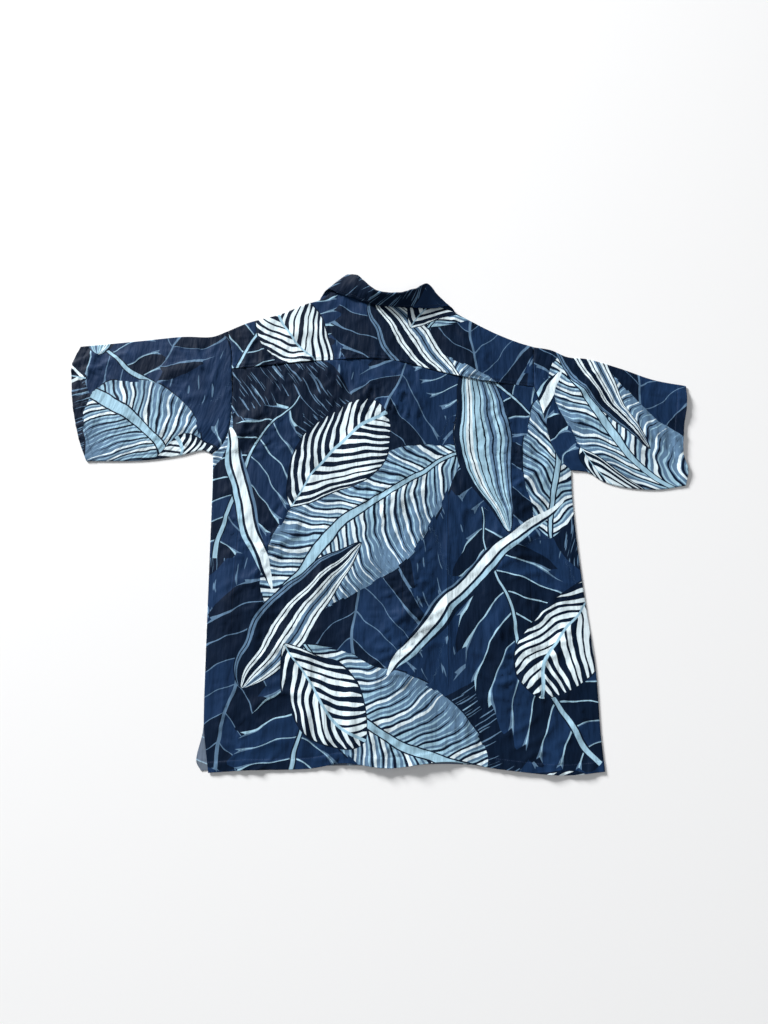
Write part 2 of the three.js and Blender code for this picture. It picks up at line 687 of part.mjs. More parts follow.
function collar() {
  const sections = COLLAR.map(collarSection);
  const lines = sections[0].map((_, k) => {
    const points = sections.map((section) => section[k]);
    return new THREE.CatmullRomCurve3(points, false, "centripetal");
  });
  const grid = evenly(COLLAR_STEPS).map((t) => lines.map((line) => line.getPoint(t)));
  const rows = grid.length;
  const columns = grid[0].length;
  const lower = [];
  const upper = [];
  for (let i = 0; i < rows; i += 1) {
    lower.push([]);
    upper.push([]);
    for (let j = 0; j < columns; j += 1) {
      const along = grid[Math.min(rows - 1, i + 1)][j].clone().sub(grid[Math.max(0, i - 1)][j]);
      const across = grid[i][Math.min(columns - 1, j + 1)].clone().sub(grid[i][Math.max(0, j - 1)]);
      const normal = across.cross(along).normalize();
      lower[i].push(aboveSurface(grid[i][j].clone().addScaledVector(normal, -COLLAR_WALL / 2)));
      upper[i].push(aboveSurface(grid[i][j].clone().addScaledVector(normal, COLLAR_WALL / 2)));
    }
  }
  addPiece("collar", closedSheet(lower, upper), CLOTH.ice);
}
collar();

// Buttons: a turned disc with a raised rim and four sewing holes, lying face down under the left front
function buttonGeometry() {
  const face = new THREE.Shape();
  face.absarc(0, 0, BUTTON_RADIUS, 0, Math.PI * 2, false);
  for (const [side, end] of [[-1, -1], [1, -1], [1, 1], [-1, 1]]) {
    const hole = new THREE.Path();
    const reach = BUTTON_HOLE_OFFSET / Math.SQRT2;
    hole.absarc(side * reach, end * reach, BUTTON_HOLE_RADIUS, 0, Math.PI * 2, true);
    face.holes.push(hole);
  }
  return new THREE.ExtrudeGeometry(face, { depth: BUTTON_THICK, bevelEnabled: false, curveSegments: 6 });
}

// The place on the centre front at a height y
function centreFrontAt(y) {
  let low = 0;
  let high = 1;
  for (let i = 0; i < HALVINGS; i += 1) {
    const middle = (low + high) / 2;
    if (frontPlan(0.5, middle).y < y) low = middle;
    else high = middle;
  }
  return frontPlan(0.5, low);
}

for (let i = 0; i < BUTTON_COUNT; i += 1) {
  const centre = centreFrontAt(BUTTON_LOWEST + i * BUTTON_PITCH);
  const geometry = buttonGeometry().translate(centre.x, centre.y, 0);
  addPiece("button_" + (i + 1), geometry, CLOTH.shell, BUTTON_ROUGHNESS);
}

shirt.position.set(-CENTRE.x, -CENTRE.y, 0);

export default shirt;
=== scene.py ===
"""A short-sleeved camp shirt with a large leaf print, laid face down on a pale floor."""

import math

import bmesh
import bpy
import numpy as np
from mathutils import Matrix


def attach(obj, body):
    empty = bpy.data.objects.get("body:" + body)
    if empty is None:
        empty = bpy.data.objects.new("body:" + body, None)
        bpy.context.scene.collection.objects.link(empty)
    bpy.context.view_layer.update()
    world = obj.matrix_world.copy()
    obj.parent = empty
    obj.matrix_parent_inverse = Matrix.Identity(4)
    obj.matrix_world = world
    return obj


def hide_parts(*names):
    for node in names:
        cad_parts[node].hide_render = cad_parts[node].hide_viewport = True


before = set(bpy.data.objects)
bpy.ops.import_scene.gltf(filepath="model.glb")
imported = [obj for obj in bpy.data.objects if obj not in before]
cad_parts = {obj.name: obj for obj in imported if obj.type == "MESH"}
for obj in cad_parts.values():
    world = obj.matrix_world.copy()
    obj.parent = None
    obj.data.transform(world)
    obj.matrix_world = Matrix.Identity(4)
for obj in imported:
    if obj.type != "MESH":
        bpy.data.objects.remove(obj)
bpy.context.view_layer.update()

# Sizes in millimetres in the layout frame, whose CENTRE is the part's origin; meshes are written in metres.
MM = 0.001
CENTRE = (-10.42, 382.95)
CLOTH_THICK = 0.55
COLLAR_THICK = 1.1
WALL = 1.2
LAYER_GAP = 0.4
HEM_EXTRA = 0.6
SEAM_GAP = 0.3
CELL = 3.8
HIDDEN_CELL = 7.5
# a distance that counts as nowhere near
FAR = 60.0

# Places on the outlines, as laid
HEM = [(-259.5, -36.5), (-205, -33), (-110, -30.5), (-60, -23), (5, -30), (95, -21), (175, -32), (265, -40),
       (326.5, -35)]
LEFT_SIDE = [(-259.5, -36.5), (-264.5, -8), (-269.8, 24), (-272.2, 60), (-275, 150), (-279.5, 310),
             (-282, 410), (-285, 467)]
RIGHT_SIDE = [(326.5, -35), (324.5, 20), (324.5, 115), (317.5, 205), (311, 305), (308.5, 390), (310, 438.5)]
LEFT_ARMHOLE = [(-285, 467), (-273, 480), (-262.5, 506), (-259, 560), (-262.4, 626)]
LEFT_ARMHOLE_TOP = [(-262.4, 626), (-266, 664), (-273.6, 698)]
RIGHT_ARMHOLE = [(310, 438.5), (294, 454), (281, 484), (269, 545), (257, 592)]
RIGHT_ARMHOLE_TOP = [(257, 592), (258.5, 630), (261.3, 666.5)]
YOKE_SEAM = [(-262.4, 626), (-160, 635.5), (-60, 642), (-15, 643), (35, 636), (95, 618.5), (160, 603.5),
             (257, 592)]
LEFT_SHOULDER = [(-273.6, 698), (-240, 714), (-180, 732.5), (-140, 750), (-113, 759), (-98, 770), (-88, 784)]
RIGHT_SHOULDER = [(104, 742), (118, 737), (140, 724), (200, 691), (236, 675), (261.3, 666.5)]
BACK_NECK = [(-72, 785), (-55, 780), (-42, 766), (-22, 755), (10, 748), (50, 744)]
FRONT_NECK = [(-81, 748), (-70, 716), (-46, 690), (-8, 679), (36, 684), (78, 706)]
BACK_TOP = LEFT_SHOULDER + BACK_NECK + RIGHT_SHOULDER
FRONT_TOP = LEFT_SHOULDER + FRONT_NECK + RIGHT_SHOULDER
FRONT_LEFT_SIDE = [(-270.5, -33.5), (-278.5, -20), (-271.5, 24), (-273, 85), (-275.5, 150), (-279.5, 310),
                   (-285, 467)]
FRONT_HEM = [(-270.5, -33.5), (-205, -29), (-110, -27), (-60, -26), (5, -26), (95, -24), (175, -28),
             (265, -36), (326.5, -35)]
LEFT_SLEEVE = {
    "top": [(-273.6, 698), (-300, 687), (-350, 687), (-426, 678.5), (-528, 667.5)],
    "under": [(-285, 467), (-302, 474), (-340, 465), (-400, 456.5), (-495, 455)],
    "cuff": [(-495, 455), (-511, 492), (-525, 540), (-534, 587), (-538, 636), (-528, 667.5)],
}
RIGHT_SLEEVE = {
    "top": [(261.3, 666.5), (290, 661), (318, 647.5), (352, 643.5), (410, 624.5), (462, 604), (517.5, 592)],
    "under": [(310, 438.5), (338, 435), (362, 419), (395, 409), (450, 405), (497, 412)],
    "cuff": [(497, 412), (503, 437), (498.5, 468), (505.5, 517), (513, 552), (517.5, 592)],
}

# Folds: a soft ridge from x0, y0 to x1, y1, with its height, its half width and the bow of its line
FOLDS = [
    (105, 430, 99, 60, 2.0, 3.2, 2),
    (109, 430, 104, 60, 1.7, 16, 2),
    (-238, 330, -229, 60, 3.1, 20, 10),
    (-214, 300, -205, 90, 2.0, 10, -6),
    (-108, 450, -99, 190, 2.4, 16, -7),
    (-92, 110, -80, -40, 3.5, 9, 4),
    (-58, 120, -46, -40, 2.9, 8, -3),
    (-120, 80, -124, -40, 2.4, 9, -4),
    (-20, 90, -14, -40, 2.1, 11, 5),
    (214, 420, 226, 150, 2.7, 22, 9),
    (250, 470, 304, 428, 3.1, 11, -6),
    (240, 500, 300, 462, 2.1, 8, 4),
    (-190, 560, -262, 486, 2.9, 14, 7),
    (-205, 520, -272, 462, 2.2, 9, -5),
    (-60, 700, -196, 676, 2.9, 13, 8),
    (70, 690, 190, 640, 2.9, 13, -8),
    (-40, 600, -30, 430, 1.8, 18, 8),
    (30, 360, 24, 140, 1.8, 15, -8),
    (170, 330, 176, 120, 1.7, 12, 6),
    (280, 150, 292, -10, 2.2, 14, -5),
]
# Sharp pressed creases on the back, far enough apart that each has its own ground: from x0, y0 to x1, y1,
# with the bow of its line and its strength, which sets both its relief and the painted shade and highlight
# along it
CREASES = [
    (107, 455, 99, 55, 2, 1.0),
    (31, 400, 23, 110, -3, 0.75),
    (-44, 560, -38, 380, 3, 0.6),
    (-150, 330, -142, 90, -4, 0.6),
    (-228, 430, -236, 150, 5, 0.7),
    (186, 540, 182, 330, -3, 0.6),
    (232, 300, 240, 40, 4, 0.7),
    (-90, 60, -84, -30, 1, 0.8),
]
SLEEVE_FOLDS = {
    "sleeve_left": [
        (-272, 640, -400, 600, 2.7, 12, 8),
        (-270, 520, -390, 520, 2.7, 13, -6),
        (-280, 575, -350, 566, 1.7, 8, 3),
        (-400, 660, -500, 620, 1.4, 14, 4),
    ],
    "sleeve_right": [
        (272, 600, 400, 560, 2.7, 12, -8),
        (290, 480, 400, 470, 2.7, 13, 8),
        (282, 545, 350, 520, 1.8, 8, 3),
        (400, 520, 500, 500, 1.4, 14, 5),
    ],
}

# Where each piece was cut from the print
ON_PRINT = {
    "back": (290, 45),
    "yoke": (90, 900),
    "front_left": (500, 45),
    "front_right": (120, 300),
    "sleeve_left": (230, 610),
    "sleeve_right": (60, 260),
    "collar": (528, 624),
}

# The cloth's colours, as linear light
INK = (0.0016, 0.0086, 0.0260)
NAVY = (0.0072, 0.0265, 0.0760)
SLATE = (0.105, 0.190, 0.300)
ICE = (0.330, 0.530, 0.660)
WHITE = (0.720, 0.850, 0.910)
WRONG_SIDE = (0.36, 0.43, 0.52)


def smooth(t):
    """A soft step from 0 to 1."""
    t = np.clip(t, 0, 1)
    return t * t * (3 - 2 * t)


def bump(t):
    """A soft bell of height 1 about 0."""
    return np.exp(-t * t)


class Curve:
    """A smooth curve through places, by share of its length or by its x."""

    SAMPLES = 24

    def __init__(self, places):
        p = np.asarray(places, float)
        p = np.vstack([2 * p[0] - p[1], p, 2 * p[-1] - p[-2]])
        steps = np.linalg.norm(np.diff(p, axis=0), axis=1) ** 0.5
        knots = np.concatenate([[0], np.cumsum(steps)])
        pieces = []
        for i in range(1, len(p) - 2):
            t = np.linspace(knots[i], knots[i + 1], self.SAMPLES, endpoint=i == len(p) - 3)[:, None]
            k = knots[i - 1 : i + 3]
            q = p[i - 1 : i + 3]
            a = [((k[j + 1] - t) * q[j] + (t - k[j]) * q[j + 1]) / (k[j + 1] - k[j]) for j in range(3)]
            b = [((k[j + 2] - t) * a[j] + (t - k[j]) * a[j + 1]) / (k[j + 2] - k[j]) for j in range(2)]
            pieces.append(((k[2] - t) * b[0] + (t - k[1]) * b[1]) / (k[2] - k[1]))
        self.points = np.vstack(pieces)
        lengths = np.linalg.norm(np.diff(self.points, axis=0), axis=1)
        self.along = np.concatenate([[0], np.cumsum(lengths)])
        self.length = self.along[-1]

    def at(self, share):
        """Places at shares of the length."""
        d = np.asarray(share) * self.length
        return np.stack([np.interp(d, self.along, column) for column in self.points.T], -1)

    def at_x(self, share):
        """Places at shares of the way from the first x to the last."""
        first, last = self.points[0, 0], self.points[-1, 0]
        x = first + np.asarray(share) * (last - first)
        order = np.argsort(self.points[:, 0], kind="stable")
        return np.stack([x, np.interp(x, self.points[order, 0], self.points[order, 1])], -1)


def patch(u, v, bottom, top, left, right):
    """Places in plan between four edges: bottom and top run with u, left and right with v."""
    u = u[None, :, None]
    v = v[:, None, None]
    b, t = bottom[None], top[None]
    le, r = left[:, None], right[:, None]
    low = (1 - u) * (1 - v) * b[:, :1] + u * (1 - v) * b[:, -1:]
    corners = low + (1 - u) * v * t[:, :1] + u * v * t[:, -1:]
    return (1 - v) * b + v * t + (1 - u) * le + u * r - corners


WAVES = 9


def noise(x, y, size, seed, octaves=2):
    """A smooth random field of about -1 to 1, with lumps of the given size."""
    rng = np.random.default_rng(seed)
    total = np.zeros_like(x)
    for octave in range(octaves):
        waves = np.zeros_like(x)
        for _ in range(WAVES):
            angle = rng.uniform(0, math.tau)
            k = math.tau / size * rng.uniform(0.6, 1.35) * 2**octave
            waves += np.sin(k * (x * math.cos(angle) + y * math.sin(angle)) + rng.uniform(0, math.tau))
        total += waves / 3.6 / 2**octave
    return total / 1.5


def beside_line(x, y, x0, y0, x1, y1, bow):
    """For a bowed line from x0, y0 to x1, y1: the share of its length, and mm to one side of it."""
    dx, dy = x1 - x0, y1 - y0
    length = math.hypot(dx, dy)
    along = ((x - x0) * dx + (y - y0) * dy) / length**2
    off = ((x - x0) * dy - (y - y0) * dx) / length
    return along, off - bow * np.sin(math.pi * np.clip(along, 0, 1))


def fold_height(x, y, folds):
    """The height that the folds add at each place."""
    total = np.zeros_like(x)
    for x0, y0, x1, y1, height, width, bow in folds:
        along, off = beside_line(x, y, x0, y0, x1, y1, bow)
        fade = smooth(along * 3) * smooth((1 - along) * 3)
        total += height * fade * bump(off / width)
    return total


def crease_field(x, y):
    """For the nearest sharp crease: mm to one side of it, and its strength there."""
    nearest = np.full(x.shape, FAR)
    strength = np.zeros_like(x)
    for x0, y0, x1, y1, bow, depth in CREASES:
        along, off = beside_line(x, y, x0, y0, x1, y1, bow)
        off = off - 0.8 * noise(x, y, 60, 91, 1)
        nearer = np.abs(off) < np.abs(nearest)
        nearest = np.where(nearer, off, nearest)
        fade = smooth(along * 6) * smooth((1 - along) * 6) * depth
        strength = np.where(nearer, fade, strength)
    return np.stack([nearest, strength], -1)


# Heights of each layer, as on the solids
BODY_WIDTH = 590
RAMP_START, FRONT_RAMP, BACK_RAMP = 22, 44, 74
LAP_HALF = 17
LAP_LIFT = 2.1 + LAYER_GAP
OUTER_LAP_LIFT = LAP_LIFT + WALL + LAYER_GAP
COLLAR_LIFT = 2.0
NECK_CLEARANCE = 1.3
NECK_START, NECK_HALF, NECK_RAMP = 560, 132, 62
NECK_LEFT, NECK_RIGHT = -102, 104
# how far the back swells up between its edges
PUFF = 1.6
# where the armholes start, as a share of the way from the hem to the yoke seam
ARMPIT = 16 / 22


def neck_lift(x, y):
    return smooth((y - NECK_START) / NECK_RAMP) * (1 - smooth((np.abs(x) - NECK_HALF) / NECK_RAMP))


def on_shoulder(x):
    return (x < NECK_LEFT) | (x > NECK_RIGHT)


def left_front_base(d, x, y):
    lap = LAP_LIFT * smooth((d + RAMP_START + FRONT_RAMP) / FRONT_RAMP)
    return np.maximum(lap, COLLAR_LIFT * neck_lift(x, y))


def right_front_base(d, x, y):
    lap = OUTER_LAP_LIFT * smooth((RAMP_START + FRONT_RAMP - d) / FRONT_RAMP)
    return np.maximum(lap, COLLAR_LIFT * neck_lift(x, y))


def back_base(d, x, y):
    lap = OUTER_LAP_LIFT * smooth((RAMP_START + BACK_RAMP - np.abs(d)) / BACK_RAMP)
    return WALL + LAYER_GAP + np.maximum(lap, (COLLAR_LIFT + NECK_CLEARANCE) * neck_lift(x, y))


# The print. One repeat of the cloth holds these leaves in layers that lie over each other. Each row says
# where a leaf starts, x and y, its heading in degrees, its length, its half width and its bend in degrees.
REPEAT = (640.0, 760.0)
LEAVES = {
    "deep": [
        (40, 10, 84, 350, 98, -22),
        (245, 70, 94, 360, 98, -20),
        (455, -10, 88, 350, 98, -24),
        (50, 395, 80, 330, 94, 16),
        (265, 440, 82, 330, 92, -18),
        (490, 370, 86, 350, 94, 20),
    ],
    "hatched": [
        (30, 700, -52, 330, 90, 35),
        (640, 300, 104, 330, 84, -30),
        (330, -30, 30, 300, 80, 34),
    ],
    "lobed": [
        (620, 20, 132, 450, 122, -38),
        (330, 735, -22, 350, 96, -36),
        (20, 330, 84, 330, 92, -34),
        (110, -70, 58, 270, 84, 42),
    ],
    "frond": [
        (110, 250, 58, 430, 98, -38),
        (640, 650, 238, 300, 76, 32),
        (440, 0, 166, 350, 84, -44),
    ],
    "bladed": [
        (450, 690, 262, 320, 46, 34),
        (70, 130, 66, 300, 44, -30),
    ],
    "barred": [
        (300, 585, 205, 240, 66, 42),
        (530, 115, 80, 225, 62, -46),
        (265, 55, 150, 200, 54, -36),
        (640, 700, 150, 190, 50, 38),
    ],
    "stem": [
        (290, 150, 50, 420, 20, -12),
        (30, 560, -82, 300, 19, 18),
    ],
}


def leaf_field(p, q, leaves):
    """For the leaf whose margin is nearest: mm along it, mm across it, mm outside its margin, and its number
    plus its share of the length."""
    warp_p = p + 7 * noise(p, q, 170, 11) + 0.8 * noise(p, q, 48, 12)
    warp_q = q + 7 * noise(p, q, 170, 13) + 0.8 * noise(p, q, 48, 14)
    best = np.full(p.shape, FAR)
    out = np.zeros(p.shape + (4,))
    for number, (start_p, start_q, degrees, length, half, bend) in enumerate(leaves):
        heading = math.radians(degrees)
        turn = math.radians(bend) / length
        side = 1 if turn >= 0 else -1
        radius = 1 / abs(turn)
        for shift_p in (-1, 0, 1):
            for shift_q in (-1, 0, 1):
                x = (warp_p % REPEAT[0]) - start_p + shift_p * REPEAT[0]
                y = (warp_q % REPEAT[1]) - start_q + shift_q * REPEAT[1]
                ahead = x * math.cos(heading) + y * math.sin(heading)
                left = side * (y * math.cos(heading) - x * math.sin(heading))
                along = np.arctan2(ahead, radius - left) * radius
                across = radius - np.hypot(ahead, radius - left)
                share = along / length
                blade = half * np.sin(math.pi * np.clip(share, 0, 1) ** 0.75) ** 0.75
                blade = blade * (1 + 0.12 * np.tanh(across / 20))
                over = np.maximum(np.maximum(-along, along - length), 0)
                outside = np.abs(across) - blade + over
                nearer = outside < best
                best = np.where(nearer, outside, best)
                counted = number + 0.98 * np.clip(share, 0.01, 0.99)
                found = np.stack([along, across * side, outside, counted], -1)
                out = np.where(nearer[..., None], found, out)
    out[..., 2] = best
    return out


def write(mesh, name, kind, values):
    """Keeps a value for each vertex under a name."""
    field = {"FLOAT": "value", "FLOAT_VECTOR": "vector", "FLOAT_COLOR": "color"}[kind]
    attribute = mesh.attributes.new(name, kind, "POINT")
    attribute.data.foreach_set(field, np.asarray(values, np.float32).ravel())


def paint(mesh, cut, wrong_side, crease):
    """Writes where each vertex of both faces lies on the printed cloth, on the leaves of every layer and
    beside the sharp creases."""
    p, q = cut[:, 0], cut[:, 1]
    for layer, leaves in LEAVES.items():
        field = leaf_field(p, q, leaves)
        write(mesh, layer, "FLOAT_COLOR", np.concatenate([field, field]))
    faces = [np.stack([p, q, np.full_like(p, side)], -1) for side in wrong_side]
    write(mesh, "cloth", "FLOAT_VECTOR", np.concatenate(faces))
    face = np.concatenate([crease, np.zeros((len(p), 1))], 1)
    write(mesh, "crease", "FLOAT_VECTOR", np.concatenate([face, face]))


def placed(name, data):
    """A new object in the scene, at its origin, from a mesh, a lamp or a camera."""
    made_object = bpy.data.objects.new(name, data)
    bpy.context.scene.collection.objects.link(made_object)
    return made_object


def finished_mesh(piece):
    """A plain mesh of a piece as its modifiers leave it."""
    ready = piece.evaluated_get(bpy.context.evaluated_depsgraph_get())
    return bpy.data.meshes.new_from_object(ready)


def normals_of(grid):
    """Unit normals of a grid of points, on the side that rows x columns turns to."""
    along = np.gradient(grid, axis=0)
    across = np.gradient(grid, axis=1)
    n = np.cross(across, along)
    return n / np.maximum(np.linalg.norm(n, axis=2, keepdims=True), 1e-9)


def to_metres(points):
    out = np.asarray(points, float) * MM
    out[..., 0] -= CENTRE[0] * MM
    out[..., 1] -= CENTRE[1] * MM
    return out


def grid_faces(rows, columns, first, flip, wrap=False):
    """Quads over a grid of vertices that starts at a number."""
    i, j = np.meshgrid(np.arange(rows - 1), np.arange(columns if wrap else columns - 1), indexing="ij")
    i, j = i.ravel(), j.ravel()
    k = (j + 1) % columns
    here, beyond = i * columns + first, (i + 1) * columns + first
    quads = np.stack([here + j, here + k, beyond + k, beyond + j], -1)
    # both faces of a shell split their quads along the same diagonal, or one would show through the other
    return quads[:, [0, 3, 2, 1]] if flip else quads


def shell(name, middle, thick, cut, printed="upper", wrap=False, crease=(FAR, 0.0)):
    """A thin closed shell about a middle surface. The cloth's right side is its upper face, its lower face,
    or, where the cloth is doubled, both. wrap joins its last column to its first."""
    rows, columns = middle.shape[:2]
    if wrap:
        padded = np.concatenate([middle[:, -1:], middle, middle[:, :1]], axis=1)
        n = normals_of(padded)[:, 1:-1]
    else:
        n = normals_of(middle)
    upper = middle + n * thick / 2
    lower = middle - n * thick / 2
    count = rows * columns
    vertices = to_metres(np.concatenate([upper.reshape(-1, 3), lower.reshape(-1, 3)]))
    faces = [grid_faces(rows, columns, 0, False, wrap), grid_faces(rows, columns, count, True, wrap)]
    index = np.arange(count).reshape(rows, columns)
    rims = []
    if wrap:
        rims.append(np.append(index[0], index[0, 0])[::-1])
        rims.append(np.append(index[-1], index[-1, 0]))
    else:
        around = np.concatenate([index[0, :], index[1:, -1], index[-1, -2::-1], index[-2::-1, 0]])
        rims.append(around[::-1])
    for rim in rims:
        faces.append(np.stack([rim[:-1], rim[1:], rim[1:] + count, rim[:-1] + count], -1))
    quads = np.concatenate(faces)
    mesh = bpy.data.meshes.new(name)
    mesh.from_pydata(vertices.tolist(), [], quads.tolist())
    mesh.polygons.foreach_set("use_smooth", np.ones(len(mesh.polygons), bool))
    wrong_side = {"upper": (0, 1), "lower": (1, 0), "both": (0, 0)}[printed]
    crease = np.broadcast_to(crease, cut.shape)
    paint(mesh, cut.reshape(-1, 2), wrong_side, crease.reshape(-1, 2))
    return placed(name, mesh), upper, n


def lines(length, cell, close_start=(), close_end=()):
    """Places of grid lines along a length: chosen ones near each end, and even steps of about a cell
    between."""
    start = list(close_start) or [0]
    end = [length - d for d in reversed(close_end)] or [length]
    count = max(1, round((end[0] - start[-1]) / cell))
    return np.array(start[:-1] + list(np.linspace(start[-1], end[0], count + 1)) + end[1:]) / length


ROUND_EDGE = (0, 0.5, 1.2, 2.2, 3.6, 5.5, 8)
HEM_WIDTH, HEM_STITCH, TOPSTITCH = 16.5, 15, 3
HEM_LINES = (0, 0.6, 1.6, 4, 8, 12, 14.2, HEM_STITCH, 15.8, 17.5, 20)
SEAM_LINES = (0, 0.8, 1.8, TOPSTITCH, 4.5, 6.5, 9)
STITCHED_ROW = HEM_LINES.index(HEM_STITCH)
TOPSTITCH_ROW = SEAM_LINES.index(TOPSTITCH)
YOKE_HEIGHT = 112
SIDE_LENGTH = 504
ARMHOLE_LENGTH, ARMHOLE_TOP_LENGTH = 165, 73
SLEEVE_LENGTH, SLEEVE_WIDTH = 262, 240


def body_rows(cell):
    """Shares of v from the hem to the yoke seam."""
    lower = lines(SIDE_LENGTH, cell, HEM_LINES)[:-1] * ARMPIT
    upper = ARMPIT + lines(ARMHOLE_LENGTH, cell, (), SEAM_LINES) * (1 - ARMPIT)
    return np.concatenate([lower, upper])


def side_with_armhole(side, armhole, v):
    low = Curve(side).at(np.clip(v / ARMPIT, 0, 1))
    high = Curve(armhole).at(np.clip((v - ARMPIT) / (1 - ARMPIT), 0, 1))
    return np.where((v <= ARMPIT)[:, None], low, high)


def creases(x, y, size, stretch, angle, seed):
    """Thin wandering ridges, up to height 1, that run along one direction and come and go."""
    c, w = math.cos(math.radians(angle)), math.sin(math.radians(angle))
    along, across = x * c + y * w, y * c - x * w
    n = noise(along / stretch, across, size, seed, 1)
    here = smooth(noise(x, y, 150, seed + 50, 1) * 1.6)
    return np.maximum(1 - np.abs(n) * 2.2, 0) ** 2 * here


def wrinkles(x, y, seed, height):
    """Cloth that was worn and folded: broad soft lumps, with sharper creases that cross each other."""
    broad = noise(x, y, 110, seed) * 0.8
    upright = creases(x, y, 30, 4.5, 86, seed + 1)
    slanting = creases(x, y, 42, 2.6, 38, seed + 2)
    counter = creases(x, y, 38, 2.4, -47, seed + 3)
    small = creases(x, y, 17, 3.0, 70, seed + 4) * 0.8 + creases(x, y, 18, 2.5, 5, seed + 5) * 0.6
    return height * (broad + 1.1 * upright + slanting + 0.9 * counter + small)


def edge_distance(points, column):
    """Distance in plan from a column of edge points, row by row."""
    return np.linalg.norm(points[:, :, :2] - points[:, [column], :2], axis=2)


def seam_relief(e, along, seed):
    """A pressed seam: a narrow dip at the seam, the allowance's soft ridge beside it, and its puckers."""
    pucker = 0.22 * np.sin(along / 2.1 + 2 * np.sin(along / 31 + seed)) * np.exp(-e / 7)
    return 0.55 * bump((e - 5) / 3.6) - 0.5 * bump(e / 1.3) + pucker


def hem_relief(e, along, seed):
    """A hem turned up and stitched: its doubled band, the stitching's groove and the puckers along it."""
    band = HEM_EXTRA * smooth((HEM_WIDTH - e) / 2.2)
    groove = -0.42 * bump((e - HEM_STITCH) / 0.9)
    pucker = 0.2 * np.sin(along / 2.6 + 2.2 * np.sin(along / 43 + seed)) * smooth((22 - e) / 12)
    return band + groove + pucker


def groove_below(e):
    """The same groove on a hem that is seen from below."""
    return 0.25 * bump((e - HEM_STITCH) / 1.2)


def rounded(z, e, seam_z, radius=4.0):
    """Turns an edge down, or up, to the height of its seam."""
    t = np.clip(1 - e / radius, 0, 1)
    return z + (seam_z - z) * (1 - np.sqrt(np.maximum(1 - t * t, 0)))


def kept_above(z, floor):
    """Softly keeps a layer from dipping into the one under it."""
    return (z + floor + np.hypot(z - floor, 0.3)) / 2


def flat_points(plan, z):
    return np.concatenate([plan, z[..., None]], axis=2)


# The height of the side seams' middle, and how far a fold may dip below its layer's own height
SIDE_SEAM_Z = 1.25
DIP = 0.35


def make_back():
    v = body_rows(CELL)
    u = lines(BODY_WIDTH, CELL, ROUND_EDGE, ROUND_EDGE)
    plan = patch(
        u, v, Curve(HEM).at_x(u), Curve(YOKE_SEAM).at_x(u),
        side_with_armhole(LEFT_SIDE, LEFT_ARMHOLE, v), side_with_armhole(RIGHT_SIDE, RIGHT_ARMHOLE, v),
    )
    x, y = plan[..., 0], plan[..., 1]
    uu, vv = np.meshgrid(u, v)
    d = (uu - 0.5) * BODY_WIDTH
    puff = PUFF * smooth(uu * 5) * smooth((1 - uu) * 5) * smooth(vv * 8 + 0.2) * smooth((1 - vv) * 8 + 0.4)
    left, right = edge_distance(plan, 0), edge_distance(plan, -1)
    side = np.minimum(left, right)
    hem = y - plan[:1, :, 1]
    yoke = plan[-1:, :, 1] - y
    inner = smooth(side / 30)
    z = back_base(d, x, y) + WALL / 2 + puff + fold_height(x, y, FOLDS)
    z += wrinkles(x, y, 21, 2.5) * inner * smooth(yoke / 25 + 0.2)
    z = kept_above(z, back_base(d, x, y) + WALL / 2 - DIP)
    z += hem_relief(hem, x, 1.0)
    z += seam_relief(yoke, x, 2.0)
    armhole = smooth((vv - ARMPIT) * 60)
    z += armhole * seam_relief(side, y, 3.0)
    z = np.where(vv < ARMPIT + 0.002, rounded(z, side, SIDE_SEAM_Z + 0.35), z)
    cut = plan + ON_PRINT["back"]
    return shell("back_cloth", flat_points(plan, z), CLOTH_THICK, cut, crease=crease_field(x, y))


def make_yoke():
    v = lines(YOKE_HEIGHT, CELL, SEAM_LINES, ROUND_EDGE)
    u = lines(BODY_WIDTH, CELL, ROUND_EDGE, ROUND_EDGE)
    plan = patch(
        u, v, Curve(YOKE_SEAM).at_x(u), Curve(BACK_TOP).at_x(u),
        Curve(LEFT_ARMHOLE_TOP).at(v), Curve(RIGHT_ARMHOLE_TOP).at(v),
    )
    x, y = plan[..., 0], plan[..., 1]
    uu, vv = np.meshgrid(u, v)
    d = (uu - 0.5) * BODY_WIDTH
    top = np.linalg.norm(plan - plan[-1:], axis=2)
    seam = y - plan[:1, :, 1]
    side = np.minimum(edge_distance(plan, 0), edge_distance(plan, -1))
    z = back_base(d, x, y) + WALL / 2 + PUFF * smooth(uu * 5) * smooth((1 - uu) * 5) * 0.35
    z += fold_height(x, y, FOLDS) * smooth((1 - vv) * 2.5)
    z += wrinkles(x, y, 31, 2.2) * smooth(side / 25) * smooth(top / 20 + 0.1)
    z = kept_above(z, back_base(d, x, y) + WALL / 2 - DIP)
    z += seam_relief(side, y, 4.0)
    z += 1.1 * smooth((10 - seam) / 4) - 0.35 * bump((vv * YOKE_HEIGHT - TOPSTITCH) / 0.9)
    z = np.where(on_shoulder(x), rounded(z, top, SIDE_SEAM_Z + 0.5 + 1.9 * neck_lift(x, y)), z)
    edge = plan.copy()
    edge[..., 1] -= 1.3 * smooth((3 - seam) / 3)
    return shell("yoke_cloth", flat_points(edge, z), CLOTH_THICK, plan * [1, -1] + ON_PRINT["yoke"])


